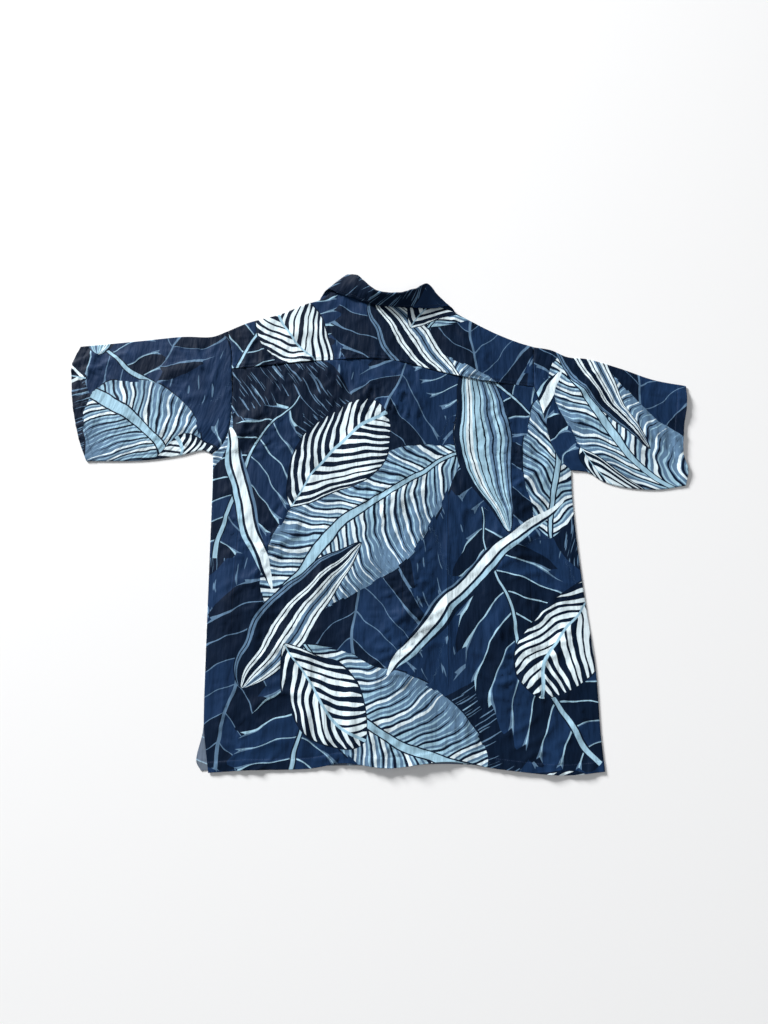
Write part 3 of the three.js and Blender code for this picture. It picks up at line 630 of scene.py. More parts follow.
def make_front(name, from_left):
    v_low = body_rows(HIDDEN_CELL)
    v_high = lines(YOKE_HEIGHT, HIDDEN_CELL, (0,), ROUND_EDGE)[1:]
    start, end = (0, 0.5 + LAP_HALF / BODY_WIDTH) if from_left else (0.5 - LAP_HALF / BODY_WIDTH, 1)
    u = start + (end - start) * lines(BODY_WIDTH * (end - start), HIDDEN_CELL, ROUND_EDGE, ROUND_EDGE)
    whole = np.unique(np.concatenate([[0], u, [1]]))
    keep = np.searchsorted(whole, u)
    low = patch(
        whole, v_low, Curve(FRONT_HEM).at_x(whole), Curve(YOKE_SEAM).at_x(whole),
        side_with_armhole(FRONT_LEFT_SIDE, LEFT_ARMHOLE, v_low),
        side_with_armhole(RIGHT_SIDE, RIGHT_ARMHOLE, v_low),
    )
    high = patch(
        whole, v_high, Curve(YOKE_SEAM).at_x(whole), Curve(FRONT_TOP).at_x(whole),
        Curve(LEFT_ARMHOLE_TOP).at(v_high), Curve(RIGHT_ARMHOLE_TOP).at(v_high),
    )
    plan = np.concatenate([low, high])[:, keep]
    x, y = plan[..., 0], plan[..., 1]
    d = (np.broadcast_to(u, x.shape) - 0.5) * BODY_WIDTH
    base = left_front_base(d, x, y) if from_left else right_front_base(d, x, y)
    outer = edge_distance(plan, 0 if from_left else -1)
    top = np.linalg.norm(plan - plan[-1:], axis=2)
    z = base + WALL / 2 + 0.12 * noise(x, y, 60, 41 + from_left)
    z += groove_below(y - plan[:1, :, 1])
    z = rounded(z, outer, SIDE_SEAM_Z - 0.35, 3.5)
    z = np.where(on_shoulder(x), rounded(z, top, SIDE_SEAM_Z - 0.2 + 1.9 * neck_lift(x, y), 3.5), z)
    cut = plan * [-1, 1] + ON_PRINT[name]
    return shell(name + "_cloth", flat_points(plan, z), CLOTH_THICK, cut, printed="lower")


def make_sleeve(name, table, armhole, armhole_top, sign, turn):
    """A flattened tube: each row is a ring from the underarm seam over the top layer and back beneath it.
    sign says which side it is on, and turn how its cut lies on the print."""
    s = lines(SLEEVE_LENGTH, CELL, SEAM_LINES, HEM_LINES)
    t = lines(SLEEVE_WIDTH, CELL, ROUND_EDGE, ROUND_EDGE)
    share = ARMHOLE_LENGTH / (ARMHOLE_LENGTH + ARMHOLE_TOP_LENGTH)
    low = Curve(armhole).at(np.clip(t / share, 0, 1))
    high = Curve(armhole_top).at(np.clip((t - share) / (1 - share), 0, 1))
    start = np.where((t <= share)[:, None], low, high)
    start = start + np.array([sign * (SEAM_GAP + 0.1), 0])
    plan = patch(
        s, t, Curve(table["under"]).at(s), Curve(table["top"]).at(s), start, Curve(table["cuff"]).at(t)
    ).transpose(1, 0, 2)
    x, y = plan[..., 0], plan[..., 1]
    ss, tt = np.meshgrid(s, t, indexing="ij")
    from_armhole = np.linalg.norm(plan - plan[:1], axis=2)
    from_cuff = np.linalg.norm(plan - plan[-1:], axis=2)
    under, top = edge_distance(plan, 0), edge_distance(plan, -1)
    fold = np.minimum(under, top)
    middle_z = WALL + 0.25
    rise = np.sin(math.pi * tt) * smooth(ss * 4) + fold_height(x, y, SLEEVE_FOLDS[name]) * smooth(ss * 5)
    z = 1.5 * WALL + 0.5 + rise * smooth(fold / 25)
    z += wrinkles(x, y, 51 if sign < 0 else 61, 2.2) * smooth(fold / 20)
    z = kept_above(z, 1.5 * WALL)
    z += hem_relief(from_cuff, y, 5.0) + seam_relief(from_armhole, y, 6.0)
    z = rounded(z, fold, middle_z, 2.2)
    below = rounded(np.full_like(z, WALL / 2), fold, middle_z, 2.2) + groove_below(from_cuff)
    upper_ring = flat_points(plan, z)
    lower_ring = flat_points(plan, below)[:, ::-1]
    ring = np.concatenate([upper_ring, lower_ring[:, 1:-1]], axis=1)
    flat = np.stack([from_armhole, top], -1)
    flat_below = np.stack([from_armhole, -top], -1)[:, ::-1]
    along, across = np.moveaxis(np.concatenate([flat, flat_below[:, 1:-1]], axis=1), -1, 0)
    c, w = math.cos(turn), math.sin(turn)
    cut = np.stack([c * along - w * across, w * along + c * across], -1) + ON_PRINT[name]
    # seen from its cuff the ring turns the other way round on the right sleeve
    if sign > 0:
        ring, cut = ring[:, ::-1], cut[:, ::-1]
    return shell(name + "_cloth", ring, CLOTH_THICK, cut, wrap=True)


NECK_OFFSET = 1.4


def beside_neck(top, x, z):
    curve = Curve(top)
    span = curve.points[-1, 0] - curve.points[0, 0]
    share = (x - curve.points[0, 0]) / span
    point = curve.at_x(share)
    ahead = curve.at_x(share + 1 / span) - curve.at_x(share - 1 / span)
    ahead = ahead / np.linalg.norm(ahead)
    return (point[0] - ahead[1] * NECK_OFFSET, point[1] + ahead[0] * NECK_OFFSET, z)


def on_front(x, z):
    return beside_neck(FRONT_TOP, x, z)


def on_back(x, z):
    return beside_neck(BACK_TOP, x, z)


# The collar from its left front end round the back of the neck to its right front end, as on its solid. Each
# row holds the places of its seam, its roll and its edge, the way that its stand faces and the roll's radius.
COLLAR = [
    (on_front(-27, 3.3), (-22, 689, 1.95), (-66, 642, 0.85), (0, 0, 1), 1.15),
    (on_front(-50, 3.3), (-43, 700, 1.95), (-88, 668, 0.85), (0, 0, 1), 1.15),
    (on_front(-70, 3.4), (-61, 723, 1.95), (-108, 700, 0.85), (0, 0, 1), 1.15),
    (on_front(-80, 3.5), (-70, 754, 2.1), (-119, 734, 0.85), (0, -0.2, 1), 1.25),
    (on_front(-85, 3.6), (-73, 777, 2.3), (-116, 754, 0.85), (0, -0.3, 1), 1.25),
    ((-87, 787, 4.2), (-71, 798.5, 2.8), (-110, 770, 1.0), (0, -0.4, 1), 1.3),
    ((-85, 787, 5.4), (-66, 805, 12), (-99, 778, 9), (0, -0.5, -1), 2),
    (on_back(-70, 5.6), (-56, 802, 19), (-80, 769, 9.5), (0.5, -0.5, -1), 2.4),
    (on_back(-57, 5.6), (-46, 796, 23), (-66, 764, 10), (0.4, 0.6, -0.8), 2.7),
    (on_back(-42, 5.6), (-35, 784, 26), (-52, 759, 10.5), (0.2, 1, -0.6), 3),
    (on_back(-20, 6.0), (-13, 763, 29), (-22, 747, 10.5), (0, 1, -0.3), 3),
    (on_back(20, 6.0), (22, 757, 30), (20, 742, 10.5), (0, 1, -0.3), 3),
    (on_back(52, 5.8), (52, 765, 30), (54, 740, 10.5), (0, 1, -0.3), 3),
    (on_back(82, 5.6), (76, 779, 24), (90, 739, 10), (-0.2, 1, -0.6), 2.4),
    ((101, 744.5, 5.4), (89, 768, 13), (114, 744, 9), (0, -0.5, -1), 2),
    ((105, 744, 4.2), (93, 757, 2.9), (125, 738, 1.0), (0, -0.4, 1), 1.3),
    (on_front(98.5, 3.5), (90, 741, 2.1), (129, 718, 0.85), (0, -0.2, 1), 1.25),
    (on_front(78, 3.4), (70, 714, 1.95), (112, 686, 0.85), (0, 0, 1), 1.15),
    (on_front(48, 3.3), (42, 697, 1.95), (86, 658, 0.85), (0, 0, 1), 1.15),
    (on_front(20, 3.3), (15, 688, 1.95), (62, 634, 0.85), (0, 0, 1), 1.15),
]


FALL, FALL_CELL = 45, 4
COLLAR_STITCH = 6
EDGE_LINES = (0, 0.5, 1.2, 2.4, 4.0, 5.2, COLLAR_STITCH, 6.8, 8)
FALL_SHARES = lines(FALL, FALL_CELL, (0,), EDGE_LINES)[1:]
STAND_POINTS, TURN_POINTS, COLLAR_ROWS = 6, 9, 230
ROLL_COLUMN = STAND_POINTS + TURN_POINTS // 2
STITCHED_COLUMN = -1 - EDGE_LINES.index(COLLAR_STITCH)


def collar_section(row):
    """Points from the seam up the stand, round the roll and down the fall to the edge."""
    seam, roll, edge, side = (np.array(place, float) for place in row[:4])
    radius = row[4]
    fold = roll - (seam + edge) / 2
    fold /= np.linalg.norm(fold)
    side -= side.dot(fold) * fold
    side /= np.linalg.norm(side)
    centre = roll - fold * radius
    angles = np.linspace(0, math.pi, TURN_POINTS)[:, None]
    turn = centre + radius * (np.cos(angles) * side + np.sin(angles) * fold)
    stand = seam + np.linspace(0, 1, STAND_POINTS + 1)[:-1, None] * (turn[0] - seam)
    fall = turn[-1] + FALL_SHARES[:, None] * (edge - turn[-1])
    return np.concatenate([stand, turn, fall])


def make_collar():
    sections = np.array([collar_section(row) for row in COLLAR])
    steps = np.linspace(0, 1, COLLAR_ROWS)
    columns = []
    for k in range(sections.shape[1]):
        curve = Curve(sections[:, k])
        knots = np.linspace(0, 1, len(curve.points))
        columns.append(np.stack([np.interp(steps, knots, curve.points[:, c]) for c in range(3)], -1))
    grid = np.stack(columns, 1)
    widths = np.linalg.norm(np.diff(grid, axis=1), axis=2)
    across = np.concatenate([np.zeros((COLLAR_ROWS, 1)), np.cumsum(widths, 1)], 1)
    lengths = np.linalg.norm(np.diff(grid[:, ROLL_COLUMN], axis=0), axis=1)
    along = np.concatenate([[0], np.cumsum(lengths)])[:, None] + np.zeros_like(across)
    lift = smooth((grid[..., 2] - 4) / 12)
    n = -normals_of(grid)
    from_edge = across[:, -1:] - across
    sag = 0.9 * noise(along, across, 46, 71) * lift + 0.35 * noise(along, across, 17, 72) * lift
    sag -= 0.3 * bump((from_edge - COLLAR_STITCH) / 0.9)
    grid = grid + n * sag[..., None]
    grid[..., 2] = np.maximum(grid[..., 2], COLLAR_THICK / 2 + 0.2)
    cut = np.stack([along, across], -1) + ON_PRINT["collar"]
    return shell("collar_cloth", grid, COLLAR_THICK, cut, printed="both")


# Materials
class Wire:
    """A socket of a node tree. Arithmetic on it adds Math nodes."""

    def __init__(self, tree, socket):
        self.tree = tree
        self.socket = socket

    def math(self, operation, *values):
        made = self.tree.nodes.new("ShaderNodeMath")
        made.operation = operation
        for socket, value in zip(made.inputs, values):
            feed(self.tree, socket, value)
        return Wire(self.tree, made.outputs[0])

    def __add__(self, other):
        return self.math("ADD", self, other)

    def __sub__(self, other):
        return self.math("SUBTRACT", self, other)

    def __mul__(self, other):
        return self.math("MULTIPLY", self, other)

    def __truediv__(self, other):
        return self.math("DIVIDE", self, other)

    def __rsub__(self, other):
        return self.math("SUBTRACT", other, self)

    def __neg__(self):
        return self.math("MULTIPLY", self, -1.0)

    __radd__ = __add__
    __rmul__ = __mul__

    def absolute(self):
        return self.math("ABSOLUTE", self)

    def floor(self):
        return self.math("FLOOR", self)

    def least(self, other):
        return self.math("MINIMUM", self, other)

    def most(self, other):
        return self.math("MAXIMUM", self, other)

    def sine(self):
        return self.math("SINE", self)

    def over(self, other):
        return self.math("GREATER_THAN", self, other)

    def clamped(self):
        return self.most(0.0).least(1.0)


def feed(tree, socket, value):
    if isinstance(value, Wire):
        tree.links.new(value.socket, socket)
    else:
        socket.default_value = value


def add_node(tree, kind, settings=None, output=0, **inputs):
    """Any other node: its settings come first, then values or wires for the inputs of those names."""
    made = tree.nodes.new(kind)
    for key, value in (settings or {}).items():
        setattr(made, key, value)
    for key, value in inputs.items():
        feed(tree, made.inputs[key.replace("_", " ")], value)
    return None if output is None else Wire(tree, made.outputs[output])


def mixed(share, low, high):
    """A colour between two colours."""
    tree = next(value.tree for value in (share, low, high) if isinstance(value, Wire))
    made = tree.nodes.new("ShaderNodeMix")
    made.data_type = "RGBA"
    for index, value in ((0, share), (6, low), (7, high)):
        if isinstance(value, tuple):
            value = (*value, 1.0)
        feed(tree, made.inputs[index], value)
    return Wire(tree, made.outputs[2])


def scaled(colour, share):
    """A colour made lighter or darker."""
    made = share.tree.nodes.new("ShaderNodeVectorMath")
    made.operation = "SCALE"
    feed(share.tree, made.inputs["Vector"], colour)
    feed(share.tree, made.inputs["Scale"], share)
    return Wire(share.tree, made.outputs[0])


def inside(depth, blur=0.35):
    """1 where a depth in millimetres is above 0, with a slightly soft rim as dye has."""
    return (depth / blur + 0.5).clamped()


def parts(wire, kind="ShaderNodeSeparateXYZ"):
    """The three parts of a vector or a colour."""
    made = wire.tree.nodes.new(kind)
    wire.tree.links.new(wire.socket, made.inputs[0])
    return [Wire(wire.tree, socket) for socket in made.outputs]


def new_material(name):
    material = bpy.data.materials.new(name)
    material.use_nodes = True
    material.node_tree.nodes.clear()
    return material, material.node_tree


def shaded(tree, **inputs):
    """Ends a material in one shader with these inputs."""
    shader = add_node(tree, "ShaderNodeBsdfPrincipled", None, 0, **inputs)
    add_node(tree, "ShaderNodeOutputMaterial", Surface=shader, output=None)


class Cloth:
    """Where a point lies on the printed cloth, with the random fields that the drawing shares."""

    def __init__(self, tree):
        self.tree = tree
        self.p, self.q, self.wrong_side = parts(self.stored("cloth"))
        self.place = self.vector(self.p, self.q, 0.0)
        aside, strength, _ = parts(self.stored("crease"))
        # the crease's narrow line, which dips the relief and is painted darker as shade
        self.crease = (1.0 - aside.absolute() / 1.5).most(0.0) * strength
        # a band along one side of the crease, painted lighter as a highlight
        self.crease_painted_highlight = (1.0 - (aside - 1.6).absolute() / 1.6).most(0.0) * strength
        self.sway = (self.random(self.place, 0.022, 1.0) - 0.5) * 14
        self.brush = self.random(self.place, 0.09, 2.0) - 0.5
        self.grain = self.random(self.place, 0.4, 1.0) - 0.5

    def stored(self, name, output=1):
        """A value that paint() keeps on the cloth: its colour is output 0, its vector 1 and its alpha 3."""
        return add_node(self.tree, "ShaderNodeAttribute", {"attribute_name": name}, output)

    def vector(self, x, y, z):
        return add_node(self.tree, "ShaderNodeCombineXYZ", None, 0, X=x, Y=y, Z=z)

    def random(self, place, scale, detail):
        return add_node(self.tree, "ShaderNodeTexNoise", None, 0, Vector=place, Scale=scale, Detail=detail)

    def chance(self, number):
        """A random share from a whole number."""
        settings = {"noise_dimensions": "1D"}
        return add_node(self.tree, "ShaderNodeTexWhiteNoise", settings, 0, W=number)

    def leaf(self, layer):
        """Millimetres along and across a leaf and outside its margin, the share of its length, and its
        number."""
        along, across, outside = parts(self.stored(layer, 0), "ShaderNodeSeparateColor")
        number = self.stored(layer, 3)
        whole = number.floor()
        return along, across, outside, number - whole, whole

    def stripes(self, phase, seed):
        """Where a point lies in its stripe from 0 to 1, and a random share for each stripe."""
        whole = phase.floor()
        return phase - whole, self.chance(whole + seed)


def ground(cloth):
    """Plain navy behind the leaves, with a few dry brush strokes in slate."""
    along, across, _, _, number = cloth.leaf("deep")
    streak = cloth.vector(along * 0.02 + across * 0.016, across * 0.17 - along * 0.08, number)
    strokes = cloth.random(streak, 1.0, 0.5)
    return mixed(inside(strokes - 0.69, 0.02), NAVY, SLATE)


def deep(cloth, colour):
    """Quiet navy leaves under the others, with slate between their fingers and thin slate veins."""
    pitch = 44
    along, across, outside, share, number = cloth.leaf("deep")
    width = across.absolute()
    phase = (along + width * 0.7 + width * width * 0.003 + cloth.sway * 1.2) / pitch
    place, luck = cloth.stripes(phase, number * 23 + across.over(0.0) * 9)
    off = (0.5 - (place - 0.5).absolute()) * (pitch * 0.8)
    gap = (outside + 34).most(0.0) * 0.13 + 0.7 + cloth.brush * 1.4
    fill = mixed(luck.over(0.45), NAVY, INK)
    fill = mixed(inside(gap - off), fill, SLATE)
    fill = mixed(inside((1.05 - share) * 2.4 + 0.5 - width), fill, SLATE)
    return mixed(inside(-outside - (10 - off).most(0.0)), colour, fill)


def hatched(cloth, colour):
    """Ink-black blades with thin pale streaks that fan out from the rib."""
    along, across, outside, _, number = cloth.leaf("hatched")
    streak = cloth.vector(along * 0.022 + across * 0.02, across * 0.28 + along * 0.07, number)
    pale = cloth.random(streak, 1.0, 1.5)
    fill = mixed(inside(pale - 0.61, 0.02), INK, SLATE)
    fill = mixed(inside(pale - 0.71, 0.02), fill, ICE)
    return mixed(inside(-outside - 2), colour, fill)


def lobed(cloth, colour):
    """Broad dark blades cut into fingers by thin pale veins that open towards the margin."""
    pitch = 37
    along, across, outside, share, number = cloth.leaf("lobed")
    width = across.absolute()
    phase = (along + width * 0.5 + width * width * 0.0022 + cloth.sway) / pitch
    place, luck = cloth.stripes(phase, number * 31 + across.over(0.0) * 7)
    off = (0.5 - (place - 0.5).absolute()) * (pitch * 0.88)
    gap = (outside + 42).most(0.0) * 0.15 + width * 0.008 + cloth.brush * 1.2
    fill = mixed(luck.over(0.55), NAVY, INK)
    fill = mixed(inside(gap - off), fill, mixed(luck.over(0.75), SLATE, ICE))
    fill = mixed(inside(1.05 + cloth.brush * 1.4 - off), fill, mixed(luck.over(0.3), SLATE, ICE))
    rib = (1.05 - share) * 3.2 + 0.4
    fill = mixed(inside(rib + 2.0 - width), fill, INK)
    fill = mixed(inside(rib - width), fill, ICE)
    return mixed(inside(-outside - (13 - off).most(0.0) * 1.3), colour, fill)


def frond(cloth, colour):
    """Feathered slate blades with a broad pale rib. Pale strokes edged in ink run out from it and taper."""
    pitch = 20
    along, across, outside, share, number = cloth.leaf("frond")
    width = across.absolute()
    phase = (along + width * 1.05 - width * width * 0.0050 + cloth.sway * 1.5) / pitch
    place, luck = cloth.stripes(phase, number * 17 + across.over(0.0) * 5)
    length = luck * 70 + 66
    taper = ((length - width) / length).clamped()
    stroke = inside(taper * 0.20 + cloth.brush * 0.14 - (place - 0.28).absolute(), 0.025)
    shadow = inside(taper * 0.16 + cloth.brush * 0.10 - (place - 0.55).absolute(), 0.025)
    second = inside(taper * 0.10 - cloth.brush * 0.16 - (place - 0.80).absolute(), 0.025)
    fill = mixed(second, SLATE, ICE)
    fill = mixed(shadow, fill, INK)
    fill = mixed(stroke, fill, mixed(luck.over(0.32), ICE, WHITE))
    rib = (1.08 - share) * 7.0 + 0.8
    fill = mixed(inside(rib + 2.2 - width), fill, INK)
    fill = mixed(inside(rib - width + cloth.brush * 1.6), fill, ICE)
    fill = mixed(inside(outside + 2 + luck * 3), fill, INK)
    return mixed(inside(-outside - luck * 10 + 2), colour, fill)


def bladed(cloth, colour):
    """Long grass blades striped along their length, the stripes meeting at both ends."""
    _, across, outside, _, number = cloth.leaf("bladed")
    reach = (across.absolute() - outside).most(1.0)
    phase = across / reach * 4.2 + 8.0 + cloth.brush * 0.16
    place, luck = cloth.stripes(phase, number * 11)
    fill = mixed(luck.over(0.34), INK, SLATE)
    fill = mixed(luck.over(0.52), fill, ICE)
    fill = mixed(luck.over(0.70), fill, WHITE)
    fill = mixed(inside(0.10 + cloth.brush * 0.1 - (place - 0.5).absolute(), 0.03), fill, INK)
    fill = mixed(inside(outside + 2), fill, INK)
    return mixed(inside(-outside), colour, fill)


def barred(cloth, colour):
    """White blades with bold dark bars of uneven width."""
    pitch = 18
    along, across, outside, share, number = cloth.leaf("barred")
    width = across.absolute()
    phase = (along * 0.9 + width * 0.9 + width * width * 0.007 + cloth.sway * 1.1) / pitch
    place, luck = cloth.stripes(phase, number * 13 + across.over(0.0) * 3)
    bar = 0.12 + luck * 0.24 + (outside + 16).most(0.0) * 0.010 + cloth.brush * 0.1
    fill = mixed(inside(bar - (place - 0.5).absolute(), 0.03), WHITE, INK)
    fill = mixed(inside((1.1 - share) * 2.2 + 0.6 - width), fill, ICE)
    fill = mixed(inside(outside + 2.2 + cloth.brush), fill, INK)
    return mixed(inside(-outside), colour, fill)


def stem(cloth, colour):
    """Long straight stalks drawn as bands."""
    _, across, outside, _, _ = cloth.leaf("stem")
    band = across + cloth.brush * 0.8
    fill = mixed(inside(band + 13.5), INK, ICE)
    fill = mixed(inside(band + 6.5), fill, INK)
    fill = mixed(inside(band + 2.5), fill, WHITE)
    fill = mixed(inside(band - 10), fill, INK)
    fill = mixed(inside(band - 14), fill, SLATE)
    return mixed(inside(-outside - 1.5), colour, fill)


# the width of a yarn in the weave's relief
YARN = 0.55


def printed_cloth():
    """The printed viscose: its drawing, uneven yarns, wear and painted sheen, painted crease shade, fine
    relief and paler wrong side.
    """
    material, tree = new_material("printed_cloth")
    cloth = Cloth(tree)
    colour = ground(cloth)
    for draw in (deep, hatched, lobed, frond, bladed, barred, stem):
        colour = draw(cloth, colour)
    # uneven yarns in both directions, in colour and height
    warp = cloth.random(cloth.vector(cloth.p * 2.2, cloth.q * 0.05, 3.0), 1.0, 1.0)
    weft = cloth.random(cloth.vector(cloth.p * 0.05, cloth.q * 2.2, 7.0), 1.0, 1.0)
    slub = (warp + weft - 1.0) * 0.5 + cloth.grain * 0.12
    # broad patches a little lighter and darker: partly worn yarns, partly painted sheen
    wear_and_sheen = cloth.random(cloth.vector(cloth.p * 0.030, cloth.q * 0.012, 9.0), 1.0, 3.0) - 0.5
    # the colour scaled by the yarns, by wear and painted sheen, by painted shade along each crease and a
    # painted highlight beside it
    shade = scaled(colour, slub * 0.45 + wear_and_sheen * 0.8 + 1.0 - cloth.crease * 0.42 + cloth.crease_painted_highlight * 0.22)
    shade = mixed(cloth.wrong_side * 0.38, shade, WRONG_SIDE)
    yarn = (cloth.p * (math.tau / YARN)).sine() * (cloth.q * (math.tau / YARN)).sine()
    crumple = cloth.random(cloth.vector(cloth.p * 1.5, cloth.q * 0.55, 5.0), 0.05, 3.0)
    streaks = cloth.random(cloth.vector(cloth.p * 0.085, cloth.q * 0.020, 2.0), 1.0, 2.0)
    height = yarn * 0.015 + slub * 0.08 + crumple * 1.6 + streaks * 4.0 - cloth.crease * 0.5
    relief = add_node(tree, "ShaderNodeBump", None, 0, Strength=0.6, Distance=MM, Height=height)
    shaded(
        tree, Base_Color=shade, Roughness=slub * 0.15 + 0.62, Normal=relief,
        Specular_IOR_Level=0.07, Sheen_Weight=0.01, Sheen_Roughness=0.4,
    )
    return material


def plain_material(name, colour, rough, coat=0.0, grain=0.0):
    """One colour with fine specks of it, lighter and darker by the share called grain."""
    material, tree = new_material(name)
    place = add_node(tree, "ShaderNodeTexCoord", None, 3)
    speck = add_node(tree, "ShaderNodeTexNoise", None, 0, Vector=place, Scale=900.0, Detail=2.0)
    low, high = (tuple(min(1, c * share) for c in colour) for share in (1 - grain, 1 + grain))
    shade = mixed(speck, low, high)
    shaded(tree, Base_Color=shade, Roughness=speck * 0.1 + rough, Coat_Weight=coat, Coat_Roughness=0.1)
    return material


# Stitches and buttons
STITCH_PITCH, STITCH_LENGTH, STITCH_WIDTH, STITCH_HEIGHT = 2.7, 2.0, 0.42, 0.3
SATIN_PITCH, SATIN_LENGTH, SATIN_WIDTH = 0.5, 0.55, 1.7
BUTTONHOLE_HALF = 7
BUTTONS = [(25.8, 100), (21.1, 208), (16.3, 316), (12.8, 424), (9.8, 532), (-2.4, 640)]
BUTTON_SIDES, HOLE_SIDES = 64, 24
HOLE_REACH, HOLE_RADIUS = 1.2, 0.9
THREAD_Z, THREAD_HALF = 0.52, 0.38
THREAD_PITCH, THREAD_LENGTH, THREAD_WIDTH = 0.38, 0.42, 3.0
# radius and height of a button's outline, from the middle of its dished face to the middle of its back
BUTTON_PROFILE = [
    (0, 0.65), (3.3, 0.65), (3.6, 0.6), (3.85, 0.4), (4.1, 0.12), (4.35, 0.02), (4.7, 0), (5.1, 0.05),
    (5.45, 0.25), (5.68, 0.6), (5.75, 1.0), (5.68, 1.4), (5.4, 1.75), (4.9, 1.98), (4.2, 2.08), (3.2, 2.1),
    (0, 2.1),
]


def stitch_tree(material):
    """A tree that lays a small plump stitch at each step along the edges of a mesh."""
    tree = bpy.data.node_groups.new("stitches", "GeometryNodeTree")
    sockets = {}
    for name, kind in (("Path", "Geometry"), ("Height", "Float"), ("Wobble", "Float"), ("Seed", "Int")):
        made = tree.interface.new_socket(name, in_out="INPUT", socket_type=f"NodeSocket{kind}")
        sockets[name] = made.identifier
    tree.interface.new_socket("Stitches", in_out="OUTPUT", socket_type="NodeSocketGeometry")
    given = tree.nodes.new("NodeGroupInput")
    path, height, wobble, seed = (Wire(tree, given.outputs[k]) for k in range(4))

    def attribute(kind, name):
        return add_node(tree, "GeometryNodeInputNamedAttribute", {"data_type": kind}, 0, Name=name)

    curve = add_node(tree, "GeometryNodeMeshToCurve", None, 0, Mesh=path)
    pitch = attribute("FLOAT", "pitch")
    curve = add_node(tree, "GeometryNodeResampleCurve", {"mode": "LENGTH"}, 0, Curve=curve, Length=pitch)
    jitter = add_node(
        tree, "FunctionNodeRandomValue", {"data_type": "FLOAT_VECTOR"}, 0,
        Min=(-1.0, -1.0, -1.0), Max=(1.0, 1.0, 1.0), Seed=seed,
    )
    jitter = add_node(tree, "ShaderNodeVectorMath", {"operation": "SCALE"}, 0, Vector=jitter, Scale=wobble)
    ahead = add_node(tree, "GeometryNodeInputTangent")
    ahead = tree_sum(tree, ahead, jitter)
    turn = add_node(tree, "FunctionNodeAlignRotationToVector", {"axis": "X"}, 0, Vector=ahead)
    turn = add_node(
        tree, "FunctionNodeAlignRotationToVector", {"axis": "Z", "pivot_axis": "X"}, 0,
        Rotation=turn, Vector=attribute("FLOAT_VECTOR", "up"),
    )
    long, wide = (attribute("FLOAT", name) for name in ("length", "width"))
    size = add_node(tree, "ShaderNodeCombineXYZ", None, 0, X=long, Y=wide, Z=height)
    stitch = add_node(tree, "GeometryNodeMeshUVSphere", None, 0, Segments=6, Rings=5, Radius=0.5)
    laid = add_node(
        tree, "GeometryNodeInstanceOnPoints", None, 0,
        Points=curve, Instance=stitch, Rotation=turn, Scale=size,
    )
    laid = add_node(tree, "GeometryNodeRealizeInstances", None, 0, Geometry=laid)
    laid = add_node(tree, "GeometryNodeSetShadeSmooth", None, 0, Geometry=laid)
    laid = add_node(tree, "GeometryNodeSetMaterial", None, 0, Geometry=laid, Material=material)
    add_node(tree, "NodeGroupOutput", output=None, Stitches=laid)
    return tree, sockets


def tree_sum(tree, first, second):
    made = tree.nodes.new("ShaderNodeVectorMath")
    feed(tree, made.inputs[0], first)
    feed(tree, made.inputs[1], second)
    return Wire(tree, made.outputs[0])


def row_of(points, up, closed=False, pitch=STITCH_PITCH, length=STITCH_LENGTH, width=STITCH_WIDTH):
    """A row of stitches along points in millimetres, with the way that the cloth faces at each. None lies
    so low that it would go through the floor."""
    points = np.array(points, float)
    points[:, 2] = np.maximum(points[:, 2], 0.9 * STITCH_HEIGHT)
    up = np.broadcast_to(np.asarray(up, float), points.shape)
    return dict(points=points, up=up, closed=closed, pitch=pitch, length=length, width=width)


def sew(rows, material):
    """Turns the rows into one plain mesh of stitches."""
    counts = [len(row["points"]) for row in rows]
    firsts = np.concatenate([[0], np.cumsum(counts)])
    edges = []
    for row, first, count in zip(rows, firsts, counts):
        edges += [(first + k, first + k + 1) for k in range(count - 1)]
        if row["closed"]:
            edges.append((first + count - 1, first))
    mesh = bpy.data.meshes.new("stitches")
    mesh.from_pydata(to_metres(np.concatenate([row["points"] for row in rows])).tolist(), edges, [])
    write(mesh, "up", "FLOAT_VECTOR", np.concatenate([row["up"] for row in rows]))
    for name in ("pitch", "length", "width"):
        write(mesh, name, "FLOAT", np.repeat([row[name] * MM for row in rows], counts))
    piece = placed("stitches", mesh)
    tree, sockets = stitch_tree(material)
    modifier = piece.modifiers.new("sewing", "NODES")
    modifier.node_group = tree
    modifier[sockets["Height"]] = STITCH_HEIGHT * MM
    modifier[sockets["Wobble"]] = 0.05
    modifier[sockets["Seed"]] = 5
    plain = finished_mesh(piece)
    piece.modifiers.clear()
    piece.data = plain
    return piece


def turned_mesh(name, profile, sides):
    """A closed turned shape from the radii and heights of its outline, first and last on its axis."""
    mesh = bpy.data.meshes.new(name)
    rings = profile[1:-1]
    angles = np.arange(sides) * math.tau / sides
    vertices = [(r * math.cos(a), r * math.sin(a), z) for r, z in rings for a in angles]
    faces = []
    for i in range(len(rings) - 1):
        for j in range(sides):
            k = (j + 1) % sides
            faces.append((i * sides + j, (i + 1) * sides + j, (i + 1) * sides + k, i * sides + k))
    faces.append(tuple(range(sides)))
    faces.append(tuple(range(len(rings) * sides - 1, (len(rings) - 1) * sides - 1, -1)))
    mesh.from_pydata(vertices, [], faces)
    bm = bmesh.new()
    bm.from_mesh(mesh)
    bmesh.ops.recalc_face_normals(bm, faces=bm.faces)
    bm.to_mesh(mesh)
    bm.free()
    return mesh


